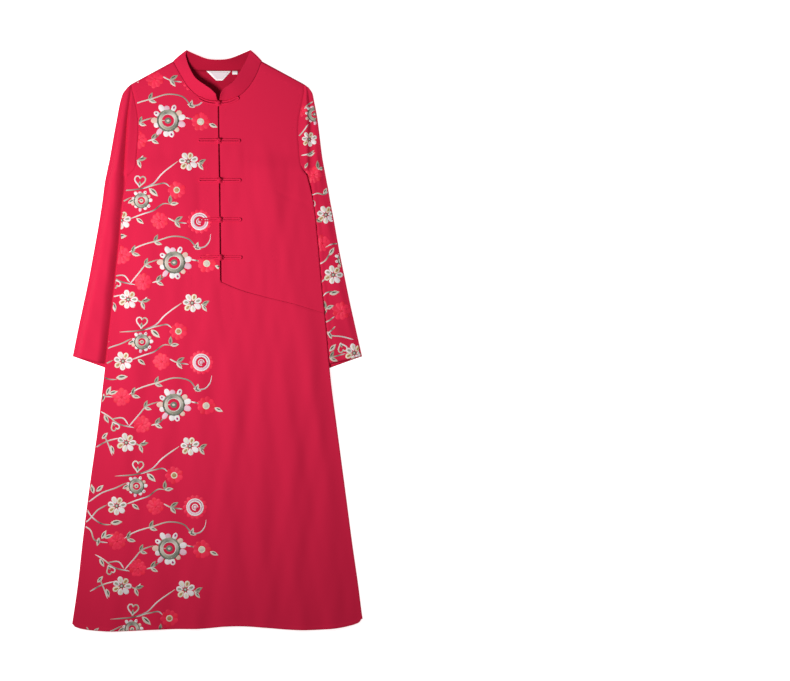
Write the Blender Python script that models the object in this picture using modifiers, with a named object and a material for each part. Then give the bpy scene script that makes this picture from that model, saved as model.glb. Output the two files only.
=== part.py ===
"""A long cheongsam dress, laid flat on its back with both sleeves tucked behind its sides.

+Z is up, +Y points to the collar and +X to the wearer's left. The origin is under the middle of
the dress, on the surface it lies on. Every cloth piece is a sheet through the middle of its wall,
lofted between rows of points, and a Solidify modifier gives it the thickness of the cloth.
"""

import math

import bmesh
import bpy
import numpy as np

MM = 0.001
LEFT, RIGHT = -1, 1  # as seen from above: LEFT is the wearer's right

# Walls and clearances
CLOTH = 1.2 * MM
COLLAR_WALL = 1.6 * MM
LABEL_WALL = 1.0 * MM
SEAM = 0.3 * MM
ARMHOLE_SEAM = 0.4 * MM
COLLAR_SEAM = 1.1 * MM  # from the panels' edge to the middle of the collar's slanting wall
PLACKET = 1.8 * MM  # the front opening stands slightly ajar

# Lengths along the dress
HEM_CORNER_Y = -603 * MM
DIAGONAL_TOP_Y = 127 * MM
UNDERARM_Y = 360 * MM
COLLAR_Y = 515 * MM
BACK_HEM_RISE = 4 * MM
VENT_TOP_Y = -330 * MM
VENT_GAP = 3.4 * MM
POCKET_Y = (-20 * MM, 115 * MM)
POCKET_GAP = 2.0 * MM
SIDE_WRAP = 15 * MM  # the front turns under this far to its side seam
UNDERARM_WRAP = 2.6 * MM  # and this far at the underarm, where the seam meets the edge
WRAP_TAPER = 70 * MM

# Air between the layers
EDGE_GAP = 1.2 * MM
MIDDLE_GAP = 1.6 * MM
MOST_GAP = 3.8 * MM
SHOULDER_GAP, SHOULDER_SLOPE = 0.6 * MM, 0.12  # at the shoulder's line, and its growth away from it
SHOULDER_DEPTH = 60 * MM  # below the collar's front, as far as the shoulder presses the layers
GAP_RUN = 60 * MM  # from the side edge to where the gap is full
SLEEVE_GAP = 2.4 * MM
SLEEVE_MARGIN, SLEEVE_RUN = 8 * MM, 30 * MM  # beside the body, where a sleeve fills out
FOLD_RUN = 25 * MM  # over which a sleeve rounds into its outer fold
SLEEVE_FLOOR = 0.15 * MM  # the sleeves clear the surface by this much
HIDDEN_GAP = 0.8 * MM
TUCK_LIFT = 3.7 * MM  # the body's sides ride over the flattened sleeves by this much
LIFT_MARGIN, LIFT_RUN = 25 * MM, 60 * MM
LIFT_FULL_Y, LIFT_NONE_Y = (-100 * MM, 368 * MM), (-190 * MM, 410 * MM)

# Shares of the way from a side edge to the middle, where the columns of a front sheet lie
HALF_COLUMNS = (0, 0.035, 0.09, 0.18, 0.28, 0.38, 0.48, 0.58, 0.68, 0.78, 0.89, 1)
FOLD_ANGLES = (60, 120)  # degrees, the points of a rounded fold between its two flat ends
SKIRT_ROWS = 14
BODICE_LEVELS = np.array((127, 175, 225, 275, 320, 360)) * MM
UPPER_LEVELS = np.array((57.6, 92, 127, 175, 225, 275, 320, 360)) * MM
SLEEVE_COLUMNS = (0, 0.2, 0.4, 0.6, 0.8, 1)
SLEEVE_UNDER_COLUMNS = (1, 0.5, 0)
COLLAR_STEPS = 4


def table(*rows):
    """Rows of millimetres as an array of metres."""
    return np.array(rows) * MM


# How far the side edges stand from the middle line: y, left, right
BODY_SIDES = table(
    (-640, 319.0, 321.0), (-603, 313.2, 315.0), (-532, 303.0, 305.8), (-442, 293.0, 292.9),
    (-353, 282.0, 281.2), (-288, 273.2, 272.6), (-199, 260.5, 260.8), (-88, 246.9, 246.5),
    (38, 232.7, 235.0), (140, 221.4, 224.5), (225, 212.5, 217.0), (310, 204.7, 206.7),
    (360, 194.4, 194.5),
)
# The armholes, from the underarm to the shoulder: y, left, right
ARMHOLES = table(
    (360, 194.4, 194.5), (364, 188.5, 191.0), (371, 181.5, 186.0), (380, 177.8, 182.8),
    (396, 176.7, 180.0), (416, 175.3, 178.2), (440, 173.3, 176.3), (464, 172.4, 176.0),
    (486, 173.6, 178.0), (507, 176.8, 182.4), (527, 181.0, 186.8), (543, 185.0, 189.2),
    (556.5, 188.4, 189.5),
)
# The hem of the front, from side to side: x, y
HEM = table(
    (-315, -610), (-310, -619), (-301, -624), (-286, -627.8), (-262, -630.6), (-229, -632.3),
    (-177, -630.9), (-142, -628.8), (-90, -627.2), (-20, -625.4), (14, -621.8), (49, -621),
    (101, -624), (154, -628.4), (200, -629.2), (241, -627), (262, -624.6), (284, -620.2),
    (299, -616), (308, -611.5), (315, -603),
)
# The front opening and the middle line below it: y, x
MIDDLE_LINE = table((-632, 0), (0, 6.5), (127, 8.2), (360, 5.3), (515, 2.6))
# The slanting seam from the foot of the opening to the right side: x, y
DIAGONAL = table((8, 127), (43.7, 112), (103.5, 94.6), (168.8, 78.3), (233, 57.6))
# The collar's seam and top edge, from the front middle round the tip to the back middle:
# seam left x, seam right x, seam y, seam z, top left x, top right x, top y, top z
COLLAR = table(
    (1.2, 4.2, 516.0, 4.0, -2.0, 9.0, 533.5, 23.0),
    (-22.0, 26.5, 519.8, 4.0, -14.0, 16.0, 546.0, 23.5),
    (-43.0, 48.5, 530.5, 4.0, -30.0, 31.0, 557.0, 22.0),
    (-61.5, 66.5, 549.0, 4.0, -45.5, 42.0, 569.0, 19.5),
    (-75.5, 80.5, 571.5, 3.9, -57.5, 52.5, 588.0, 16.0),
    (-86.5, 89.5, 590.5, 3.8, -66.0, 62.0, 605.5, 12.5),
    (-92.8, 93.2, 602.0, 3.5, -71.0, 69.0, 622.0, 10.5),
    (-95.2, 96.0, 607.4, 2.7, -68.0, 72.2, 630.2, 9.0),
    (-95.2, 96.0, 607.4, 1.5, -66.5, 71.4, 630.6, 7.2),
    (-90.6, 91.4, 603.6, 1.0, -60.5, 65.0, 628.0, 6.5),
    (-70.0, 72.0, 592.8, 1.0, -43.0, 47.0, 620.0, 8.5),
    (-38.0, 41.0, 588.6, 1.0, -22.0, 26.0, 611.8, 12.0),
    (2.3, 2.3, 588.0, 1.0, 2.3, 2.3, 609.2, 14.0),
)
NECK_SIDE, NECK_BACK = 7, 8  # rows of COLLAR at the shoulder, for the front and for the back
# The sleeves' outer fold: y, left, right
SLEEVE_OUTER = table(
    (-34.8, 314.0, 314.0), (25, 302.0, 300.5), (80, 290.2, 288.2), (136, 278.5, 276.6),
    (190, 268.5, 265.5), (230, 261.3, 258.3), (268, 254.8, 251.5), (300, 249.8, 245.4),
    (328, 246.3, 240.6), (348, 243.3, 236.8), (360, 240.9, 234.6), (393, 233.9, 228.4),
    (438, 226.0, 222.6), (484, 217.5, 216.7), (522, 209.8, 209.4), (538, 204.4, 205.9),
    (550, 195.0, 197.5),
)
# The inner fold of the sleeves, which the body hides: y, left, right
SLEEVE_INNER = table(
    (-57.5, 210, 212), (6, 192, 193), (68, 175, 176), (128, 158, 159), (186, 141, 142),
    (230, 128, 129), (270, 118, 119), (302, 124, 125), (330, 148, 149), (350, 178, 179),
)
# Where each row of a sleeve crosses its outer fold, and the armhole or the inner fold: y, y
SLEEVE_CAP_OUTER_Y = np.array((360, 367, 376, 393, 414, 438, 462, 484, 504, 522, 538, 550)) * MM
SLEEVE_LOW_ROWS = table(
    (348, 350), (328, 330), (300, 302), (268, 270), (230, 230), (190, 186), (136, 128),
    (80, 68), (25, 6), (-34.8, -57.5),
)
TUCKED = (1, 0.5)  # how far the lowest cap rows, from the underarm up, dip under the body
# The inner edge of the lift: y, distance from the middle
LIFT_LINE = table((-59, 210), (270, 118), (410, 118))
# The largest folds, as ridges: top x, top y, low x, low y, half-width, height
FOLDS = table(
    (-150, 250, -248, -720, 30, 1.3),
    (-95, 90, -148, -720, 34, 1.7),
    (-30, 60, -56, -720, 30, 1.5),
    (38, 40, 15, -720, 32, 2.0),
    (92, 60, 97, -720, 30, 1.6),
    (140, 40, 185, -720, 32, 1.9),
    (190, 120, 268, -720, 28, 1.4),
    (-118, 440, -100, 200, 34, 1.4),
    (108, 430, 128, 200, 34, 1.5),
)
FOLD_FADE = 90 * MM

# The frog fastenings: a doubled cord on each side of the opening
CORD_RADIUS = 1.5 * MM
STRAND = 1.65 * MM  # from the middle of a frog to the middle of each of its strands
FROG_REACH = 45 * MM
FROG_LEVELS = (434 * MM, 348 * MM, 262.5 * MM, 180.5 * MM)  # the first frog is at the collar
COLLAR_FROG_DROP = 6.2 * MM  # the collar's frog lies this far below the collar's seam
RING_RADIUS = 3.6 * MM
KNOT_RADIUS = 4.2 * MM
KNOT_RISE = 4.8 * MM
CORD_SIDES = 1  # bevel_resolution
KNOT_SEGMENTS, KNOT_RINGS = 10, 7
# Cord points as distance from the frog's middle, beside its line, rise
LOOP_NECK = table((6.5, 1.65, 0), (4.4, 2.1, 0))
KNOT_CLIMB = table((10.5, 1.65, 0), (6.4, 1.65, 3.4), (4.4, 1.65, 3.9), (1.4, 1.0, 4.4))
MERGE = 0.01 * MM

# The bare label and size tag inside the back neck: x, y
LABEL_OUTLINE = table((-23.9, 586), (30.2, 586), (11.3, 565.2), (-2.4, 565.2))
TAG_OUTLINE = table((32.6, 586), (44.0, 586), (44.0, 578.6), (32.6, 578.6))

# sRGB colours and roughness of each material
CLOTH_RED = ("#C2264A", 0.85)
CORD_RED = ("#B81F45", 0.8)
LABEL_WHITE = ("#F2EEEE", 0.6)


def ease(t):
    """0 below 0, 1 above 1 and smooth between."""
    t = np.clip(t, 0, 1)
    return t * t * (3 - 2 * t)


def read(rows, at, column):
    """A table's column at a value of its first column, on a smooth curve through its rows."""
    keys, values = rows[:, 0], rows[:, column]
    slopes = np.gradient(values, keys)
    i = int(np.clip(np.searchsorted(keys, at) - 1, 0, len(keys) - 2))
    step = keys[i + 1] - keys[i]
    t = float(np.clip((at - keys[i]) / step, 0, 1))
    return float(
        (1 + 2 * t) * (1 - t) ** 2 * values[i]
        + t * (1 - t) ** 2 * step * slopes[i]
        + t * t * (3 - 2 * t) * values[i + 1]
        + t * t * (t - 1) * step * slopes[i + 1]
    )


def of_side(side):
    """The column of a y, left, right table."""
    return 1 if side == LEFT else 2


def side_edge(side, y):
    return read(BODY_SIDES, y, of_side(side))


def panel_edge(side, y):
    """Distance of the panels' outer edge: the side below the underarm, the armhole above it."""
    return side_edge(side, y) if y <= UNDERARM_Y else read(ARMHOLES, y, of_side(side))


def side_wrap(y):
    """How far the front turns under at a level."""
    return UNDERARM_WRAP + (SIDE_WRAP - UNDERARM_WRAP) * ease((UNDERARM_Y - y) / WRAP_TAPER)


def middle(y):
    return float(np.interp(y, MIDDLE_LINE[:, 0], MIDDLE_LINE[:, 1]))


def hem(x):
    return float(np.interp(x, HEM[:, 0], HEM[:, 1]))


def collar_point(side, row, at_top):
    """A point of the collar's seam, or of its top edge."""
    first = 4 if at_top else 0
    x = COLLAR[row, first + (0 if side == LEFT else 1)]
    return np.array((x, COLLAR[row, first + 2], COLLAR[row, first + 3]))


def neck_edge(side, row, away=COLLAR_SEAM):
    """The plan point of the neckline beside a collar row, outside the collar's seam."""
    seam, top = (collar_point(side, row, at_top)[:2] for at_top in (False, True))
    return seam + away * (seam - top) / np.linalg.norm(seam - top)


def lift(x, y):
    """How far the body rides up, where a sleeve lies under it."""
    inner = np.interp(y, LIFT_LINE[:, 0], LIFT_LINE[:, 1])
    across = ease((abs(x) - inner + LIFT_MARGIN + LIFT_RUN) / LIFT_RUN)
    low, high = (
        ease((y - none) / (full - none)) for full, none in zip(LIFT_FULL_Y, LIFT_NONE_Y)
    )
    return float(TUCK_LIFT * across * low * high)


def folds(x, y):
    """The height of the soft folds."""
    height = 0.0
    for top_x, top_y, low_x, low_y, half_width, rise in FOLDS:
        t = np.clip((top_y - y) / (top_y - low_y), 0, 1)
        line = top_x + t * (low_x - top_x)
        fades = ease((top_y - y) / FOLD_FADE) * ease((y - low_y) / FOLD_FADE)
        height += rise * fades * math.exp(-(((x - line) / half_width) ** 2))
    return height


def shoulder_distance(x, y):
    """How far a point lies below the shoulder's line."""
    side = LEFT if x < 0 else RIGHT
    neck = neck_edge(side, NECK_SIDE)
    tip = np.array((side * ARMHOLES[-1, of_side(side)], ARMHOLES[-1, 0]))
    along = (tip - neck) / np.linalg.norm(tip - neck)
    away = np.array((x, y)) - neck
    return abs(along[0] * away[1] - along[1] * away[0])


def gap(x, y):
    """The air between the back and the front."""
    side = LEFT if x < 0 else RIGHT
    inward = ease((panel_edge(side, y) - abs(x)) / GAP_RUN) if y <= UNDERARM_Y else 1.0
    full = EDGE_GAP + (MIDDLE_GAP - EDGE_GAP + folds(x, y)) * inward
    if y > COLLAR_Y - SHOULDER_DEPTH:
        full = min(full, SHOULDER_GAP + SHOULDER_SLOPE * shoulder_distance(x, y))
    return min(full, MOST_GAP)


def back_height(x, y):
    """The middle of the back's wall."""
    return CLOTH / 2 + lift(x, y)


def front_height(x, y):
    """The middle of the front's wall."""
    return back_height(x, y) + CLOTH + gap(x, y)


def linear(value):
    """One sRGB channel as linear light."""
    return value / 12.92 if value <= 0.04045 else ((value + 0.055) / 1.055) ** 2.4


def material(name, finish):
    """A Principled material of a colour and a roughness."""
    colour, roughness = finish
    made = bpy.data.materials.get(name) or bpy.data.materials.new(name)
    made.use_nodes = True
    shader = made.node_tree.nodes["Principled BSDF"]
    channels = [linear(int(colour[i : i + 2], 16) / 255) for i in (1, 3, 5)]
    shader.inputs["Base Color"].default_value = (*channels, 1)
    shader.inputs["Roughness"].default_value = roughness
    shader.inputs["Metallic"].default_value = 0.0
    return made


def add_object(name, data, collection, made_of):
    obj = bpy.data.objects.new(name, data)
    collection.objects.link(obj)
    data.materials.append(made_of)
    return obj


def loft(name, rows, wall, collection, made_of, ring=False):
    """A cloth piece through rows of points. A None leaves a hole there, and a ring's rows close."""
    shape = bmesh.new()
    grid = [[None if p is None else shape.verts.new(p) for p in row] for row in rows]
    columns = len(rows[0])
    for low, high in zip(grid, grid[1:]):
        for j in range(columns if ring else columns - 1):
            corners = (low[j], low[(j + 1) % columns], high[(j + 1) % columns], high[j])
            if None not in corners:
                shape.faces.new(corners)
    bmesh.ops.recalc_face_normals(shape, faces=shape.faces)
    mesh = bpy.data.meshes.new(name)
    shape.to_mesh(mesh)
    shape.free()
    mesh.shade_smooth()
    obj = add_object(name, mesh, collection, made_of)
    solid = obj.modifiers.new("cloth wall", "SOLIDIFY")
    solid.thickness = wall
    solid.offset = 0
    solid.use_even_offset = True
    return obj


def fold_radius():
    """Half the distance between the front's and the back's walls at the side edge."""
    return (CLOTH + EDGE_GAP) / 2


def front_half_row(side, level_of):
    """A front sheet's points from its side seam, round the edge, to the opening."""
    radius = fold_radius()
    y = level_of(0)
    edge = side_edge(side, y)
    low = back_height(side * edge, y)
    seam = side * (edge - side_wrap(y))
    points = [(seam, y, back_height(seam, y))]
    points.append((side * (edge - radius), y, low))
    for degrees in FOLD_ANGLES:
        turn = math.radians(degrees)
        x = edge - radius + radius * math.sin(turn)
        points.append((side * x, y, low + radius * (1 - math.cos(turn))))
    for share in HALF_COLUMNS:
        y = level_of(share)
        outer = side * (side_edge(side, y) - radius)
        x = outer + share * (opening_edge(side, y) - outer)
        points.append((x, y, front_height(x, y)))
    return points


def opening_edge(side, y):
    return middle(y) + side * PLACKET / 2


def column_x(side, share, y):
    """Where a column of the front lies at a level."""
    outer = side * (side_edge(side, y) - fold_radius())
    return outer + share * (opening_edge(side, y) - outer)


def skirt_top(side, share):
    """The upper end of a skirt column: level on the left, on the slanting seam on the right."""
    if side == LEFT:
        return DIAGONAL_TOP_Y
    return diagonal(share) - SEAM / 2


def diagonal(share):
    x = column_x(RIGHT, share, (DIAGONAL[0, 1] + DIAGONAL[-1, 1]) / 2)
    return read(DIAGONAL, x, 1)


def neckline(side):
    """The inner boundary of a bodice half above the underarm, up the opening and the neckline."""
    levels = np.linspace(UNDERARM_Y, COLLAR_Y, 7)[:-1]
    points = [(opening_edge(side, y), y) for y in levels]
    for row in (0, 1, 2, 3, 4, 5, NECK_SIDE):
        points.append(tuple(neck_edge(side, row)))
    return points


def armhole(side):
    return [(side * row[of_side(side)], row[0]) for row in ARMHOLES]


def bodice_rows(side):
    """The rows of a bodice half above the underarm, ruled from the armhole to the neckline."""
    rows = []
    for outer, inner in list(zip(armhole(side), neckline(side)))[1:]:
        row = [None] * (2 + len(FOLD_ANGLES))
        for share in HALF_COLUMNS:
            x, y = (a + share * (b - a) for a, b in zip(outer, inner))
            row.append((x, y, front_height(x, y)))
        rows.append(row)
    return rows


def make_front(collection, cloth):
    """The front: the wearer's right bodice and the whole skirt in one, with its sides wrapped."""
    nothing = [None] * (2 + len(FOLD_ANGLES) + len(HALF_COLUMNS))
    rows = []
    for t in np.linspace(0, 1, SKIRT_ROWS):
        halves = []
        for side in (LEFT, RIGHT):
            def level(share, side=side):
                low = hem(column_x(side, share, HEM_CORNER_Y))
                return low + t * (skirt_top(side, share) - low)

            halves.append(front_half_row(side, level))
        rows.append(halves[0] + halves[1][::-1])
    for y in BODICE_LEVELS[1:]:
        rows.append(front_half_row(LEFT, lambda share, y=y: y) + nothing)
    for row in bodice_rows(LEFT):
        rows.append(row + nothing)
    return loft("front_main", rows, CLOTH, collection, cloth)


def make_upper_front(collection, cloth):
    """The wearer's left bodice, above the slanting seam."""
    rows = []
    bottom, top = UPPER_LEVELS[0], UPPER_LEVELS[-1]
    for level in UPPER_LEVELS:
        t = (level - bottom) / (top - bottom)

        def height(share, t=t):
            low = diagonal(share) + SEAM / 2
            return low + t * (UNDERARM_Y - low)

        rows.append(front_half_row(RIGHT, height))
    rows += bodice_rows(RIGHT)
    return loft("upper_front", rows, CLOTH, collection, cloth)


def back_seam(side, y):
    """Distance of the back's side edge, with the vent and the pocket's mouth left open."""
    vent = VENT_GAP * ease((VENT_TOP_Y - y) / (VENT_TOP_Y - HEM_CORNER_Y))
    low, high = POCKET_Y
    mouth = 0.0
    if side == RIGHT and low < y < high:
        mouth = POCKET_GAP * math.sin(math.pi * (y - low) / (high - low))
    return side_edge(side, y) - side_wrap(y) - SEAM - vent - mouth


def back_top():
    """The back's upper edge: shoulder, neckline, shoulder."""
    halves = []
    for side in (LEFT, RIGHT):
        tip, neck = np.array(armhole(side)[-1]), neck_edge(side, NECK_BACK)
        shoulder = [tip + t * (neck - tip) for t in np.linspace(0, 1, 6)[:-1]]
        halves.append(shoulder + [neck_edge(side, row) for row in range(NECK_BACK, len(COLLAR))])
    return halves[0] + halves[1][-2::-1]


def make_back(collection, cloth):
    """The back, cut in one from shoulder to hem."""
    top = back_top()
    shares = [(p[0] - top[0][0]) / (top[-1][0] - top[0][0]) for p in top]
    rows = []
    levels = list(np.linspace(HEM_CORNER_Y, DIAGONAL_TOP_Y, SKIRT_ROWS)) + list(BODICE_LEVELS[1:-1])
    for level in levels:
        t = (level - HEM_CORNER_Y) / (UNDERARM_Y - HEM_CORNER_Y)
        row = []
        for share in shares:
            left, right = -back_seam(LEFT, level), back_seam(RIGHT, level)
            x = left + share * (right - left)
            y = level + (1 - t) ** 3 * (hem(x) - HEM_CORNER_Y + BACK_HEM_RISE)
            row.append((x, y, back_height(x, y)))
        rows.append(row)
    left, right = armhole(LEFT), armhole(RIGHT)
    left[0] = (-back_seam(LEFT, UNDERARM_Y), UNDERARM_Y)
    right[0] = (back_seam(RIGHT, UNDERARM_Y), UNDERARM_Y)
    last = len(ARMHOLES) - 1
    for k, (a, b) in enumerate(zip(left, right)):
        v, row = k / last, []
        for u, end in zip(shares, top):
            point = []
            for i in (0, 1):
                base = left[0][i] + u * (right[0][i] - left[0][i])
                corners = (1 - v) * base + v * (left[-1][i] + u * (right[-1][i] - left[-1][i]))
                point.append((1 - v) * base + v * end[i] + (1 - u) * a[i] + u * b[i] - corners)
            row.append((*point, back_height(*point)))
        rows.append(row)
    return loft("back", rows, CLOTH, collection, cloth)


def outward(points, distance):
    """A line in plan, moved to its right by a distance."""
    points = np.array(points)
    along = np.gradient(points, axis=0)
    along /= np.linalg.norm(along, axis=1)[:, None]
    return points + distance * np.stack([along[:, 1], -along[:, 0]], axis=1)


def sleeve_row(side, outer, inner, inner_height, hidden):
    """A sleeve's points from its inner edge over the top, round the outer fold and back below."""
    outer, inner = np.array(outer), np.array(inner)
    across = (outer - inner) / np.linalg.norm(outer - inner)
    radius = (CLOTH + EDGE_GAP) / 2
    inner_radius = (CLOTH + HIDDEN_GAP) / 2
    end = outer - radius * across
    start = inner + (inner_radius * across if hidden else 0)
    under = SLEEVE_FLOOR + CLOTH / 2
    row = []
    for share in SLEEVE_COLUMNS:
        x, y = start + share * (end - start)
        beside = ease((abs(x) - panel_edge(side, y) - SLEEVE_MARGIN) / SLEEVE_RUN)
        air = HIDDEN_GAP + (SLEEVE_GAP - HIDDEN_GAP) * beside
        rounding = ease(float(np.hypot(*(end - (x, y)))) / FOLD_RUN)
        air = EDGE_GAP + (air - EDGE_GAP) * rounding
        base = under + CLOTH + air
        row.append((x, y, inner_height + (base - inner_height) * ease(2 * share)))
    for degrees in reversed(FOLD_ANGLES):
        turn = math.radians(degrees)
        x, y = end + radius * math.sin(turn) * across
        row.append((x, y, under + radius * (1 - math.cos(turn))))
    for share in SLEEVE_UNDER_COLUMNS:
        row.append((*(start + share * (end - start)), under))
    for degrees in FOLD_ANGLES:
        turn = math.radians(degrees)
        x, y = start - inner_radius * math.sin(turn) * across
        row.append((x, y, under + inner_radius * (1 - math.cos(turn))) if hidden else None)
    return row


def make_sleeve(name, side, collection, cloth):
    """A sleeve: open along the armhole, then a flattened tube that lies under the body's side."""
    column = of_side(side)
    seam = outward(armhole(side), side * ARMHOLE_SEAM)
    hidden_height = SLEEVE_FLOOR + 1.5 * CLOTH + HIDDEN_GAP
    rows = []
    for k in range(len(ARMHOLES) - 1, 0, -1):
        y = SLEEVE_CAP_OUTER_Y[k - 1]
        level = front_height(*armhole(side)[k])
        dip = TUCKED[k - 1] if k <= len(TUCKED) else 0
        level += dip * (hidden_height - level)
        rows.append(sleeve_row(side, (side * read(SLEEVE_OUTER, y, column), y), seam[k], level, False))
    for outer_y, inner_y in SLEEVE_LOW_ROWS:
        outer = (side * read(SLEEVE_OUTER, outer_y, column), outer_y)
        inner = (side * read(SLEEVE_INNER, inner_y, column), inner_y)
        rows.append(sleeve_row(side, outer, inner, hidden_height, True))
    return loft(name, rows, CLOTH, collection, cloth, ring=True)


def make_collar(collection, cloth):
    """The stand collar: one stiffened band round the neck, open at the front."""
    stations = [(LEFT, row) for row in range(len(COLLAR))]
    stations += [(RIGHT, row) for row in range(len(COLLAR) - 2, -1, -1)]
    rows = []
    for side, row in stations:
        seam, top = (collar_point(side, row, at_top) for at_top in (False, True))
        rows.append([tuple(seam + t * (top - seam)) for t in np.linspace(0, 1, COLLAR_STEPS)])
    return loft("collar", rows, COLLAR_WALL, collection, cloth)


def frog_path(level):
    """The line in plan that a frog follows, from its left end to its right end."""
    if level is None:
        halves = [
            [neck_edge(side, row, COLLAR_FROG_DROP) for row in (2, 1, 0)] for side in (LEFT, RIGHT)
        ]
        return np.array(halves[0][:-1] + [(halves[0][-1] + halves[1][-1]) / 2] + halves[1][-2::-1])
    return np.array([(middle(level) + side * (FROG_REACH + MM), level) for side in (LEFT, RIGHT)])


def along_path(path, side, distance, beside):
    """The plan point a distance from the path's middle, and to one side of it."""
    steps = np.linalg.norm(np.diff(path, axis=0), axis=1)
    lengths = np.concatenate([[0], np.cumsum(steps)])
    at = lengths[-1] / 2 + side * distance
    here, ahead = (
        np.array([np.interp(s, lengths, path[:, i]) for i in (0, 1)]) for s in (at - MM, at + MM)
    )
    along = (ahead - here) / np.linalg.norm(ahead - here)
    return (here + ahead) / 2 + beside * np.array((-along[1], along[0]))


def place_cord(path, side, points):
    """Cord points (distance, beside, rise) of a frog as points that lie on the front."""
    placed = []
    for distance, beside, rise in points:
        x, y = along_path(path, side, distance, beside)
        near = along_path(path, side, distance, 0)
        top = front_height(near[0], min(near[1], y)) + CLOTH / 2
        placed.append((x, y, top + SEAM + CORD_RADIUS + rise))
    return placed


def strap_end():
    """The rounded outer end of a doubled cord."""
    turns = np.radians(np.linspace(90, -90, 5))
    reach = FROG_REACH - STRAND
    return [(reach + STRAND * math.cos(a), STRAND * math.sin(a), 0) for a in turns]


def cord(name, points, cyclic, collection, made_of):
    line = bpy.data.curves.new(name, "CURVE")
    line.dimensions = "3D"
    line.bevel_depth = CORD_RADIUS
    line.bevel_resolution = CORD_SIDES
    line.use_fill_caps = True
    spline = line.splines.new("POLY")
    spline.points.add(len(points) - 1)
    for point, place in zip(spline.points, points):
        point.co = (*place, 1)
    spline.use_cyclic_u = cyclic
    return add_object(name, line, collection, made_of)


def make_loop(name, path, collection, made_of):
    """The loop half: a doubled cord whose inner end opens into a ring under the knot."""
    neck = [tuple(point) for point in LOOP_NECK]
    ring = [
        (RING_RADIUS * math.cos(a), RING_RADIUS * math.sin(a), 0)
        for a in np.radians(np.linspace(45, 315, 7))
    ]
    points = strap_end() + [(s, -t, h) for s, t, h in neck + ring] + neck[::-1]
    return cord(name, place_cord(path, RIGHT, points), True, collection, made_of)


def make_knot(name, path, collection, tools, made_of):
    """The knot half: a doubled cord that climbs over the ring into the ball of the knot."""
    climb = [tuple(point) for point in KNOT_CLIMB]
    points = climb[::-1] + strap_end() + [(s, -t, h) for s, t, h in climb]
    tube = cord(name + "_cord", place_cord(path, LEFT, points), False, collection, made_of)
    mesh = bpy.data.meshes.new_from_object(
        tube.evaluated_get(bpy.context.evaluated_depsgraph_get())
    )
    shape = bmesh.new()
    shape.from_mesh(mesh)
    bmesh.ops.remove_doubles(shape, verts=shape.verts, dist=MERGE)
    bmesh.ops.recalc_face_normals(shape, faces=shape.faces)
    shape.to_mesh(mesh)
    shape.free()
    bpy.data.objects.remove(tube)
    mesh.materials.clear()
    strap = add_object(name, mesh, collection, made_of)
    centre = place_cord(path, LEFT, [(0, 0, KNOT_RISE)])[0]
    ball_mesh = bpy.data.meshes.new(name + "_ball")
    ball = bmesh.new()
    bmesh.ops.create_uvsphere(ball, u_segments=KNOT_SEGMENTS, v_segments=KNOT_RINGS, radius=KNOT_RADIUS)
    ball.to_mesh(ball_mesh)
    ball.free()
    knot = add_object(name + "_ball", ball_mesh, tools, made_of)
    knot.location = centre
    knot.hide_render = True
    knot.display_type = "WIRE"
    union = strap.modifiers.new("ball of the knot", "BOOLEAN")
    union.operation = "UNION"
    union.object = knot
    return strap


def make_label(name, outline, collection, made_of):
    """A flat woven label on the inside of the back, just below the neck."""
    line = bpy.data.curves.new(name, "CURVE")
    line.dimensions = "2D"
    line.fill_mode = "BOTH"
    line.extrude = LABEL_WALL / 2
    spline = line.splines.new("POLY")
    spline.points.add(len(outline) - 1)
    for point, (x, y) in zip(spline.points, outline):
        point.co = (x, y, 0, 1)
    spline.use_cyclic_u = True
    obj = add_object(name, line, collection, made_of)
    obj.location.z = CLOTH + SEAM + LABEL_WALL / 2
    return obj


def main():
    for obj in list(bpy.data.objects):
        bpy.data.objects.remove(obj)
    dress = bpy.data.collections.new("cheongsam_dress")
    tools = bpy.data.collections.new("tools")
    for collection in (dress, tools):
        bpy.context.scene.collection.children.link(collection)
    cloth = material("crimson_cloth", CLOTH_RED)
    cord_cloth = material("crimson_cord", CORD_RED)
    label_white = material("label_white", LABEL_WHITE)

    make_front(dress, cloth)
    make_upper_front(dress, cloth)
    make_back(dress, cloth)
    make_sleeve("sleeve_plain", LEFT, dress, cloth)
    make_sleeve("sleeve_embroidered", RIGHT, dress, cloth)
    make_collar(dress, cloth)
    for number, level in enumerate((None, *FROG_LEVELS), 1):
        path = frog_path(level)
        make_loop(f"frog_{number}_loop", path, dress, cord_cloth)
        make_knot(f"frog_{number}_knot", path, dress, tools, cord_cloth)
    make_label("neck_label", LABEL_OUTLINE, dress, label_white)
    make_label("size_tag", TAG_OUTLINE, dress, label_white)

    centre = bpy.data.objects.new("dress_centre", None)
    dress.objects.link(centre)
    for obj in dress.objects:
        if obj is not centre:
            obj.parent = centre


main()
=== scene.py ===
# %% [markdown]
# # A long cheongsam, laid flat
#
# The dress lies on its back. Six pieces of the same crimson linen make it: a back, a front, an
# upper front, two sleeves tucked behind the sides, and a stand collar. We start from the packed
# solids, which fix every size, and give each of them its finished cloth.

import math

import bmesh
import bpy
import numpy as np
from mathutils import Matrix, Vector


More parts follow.
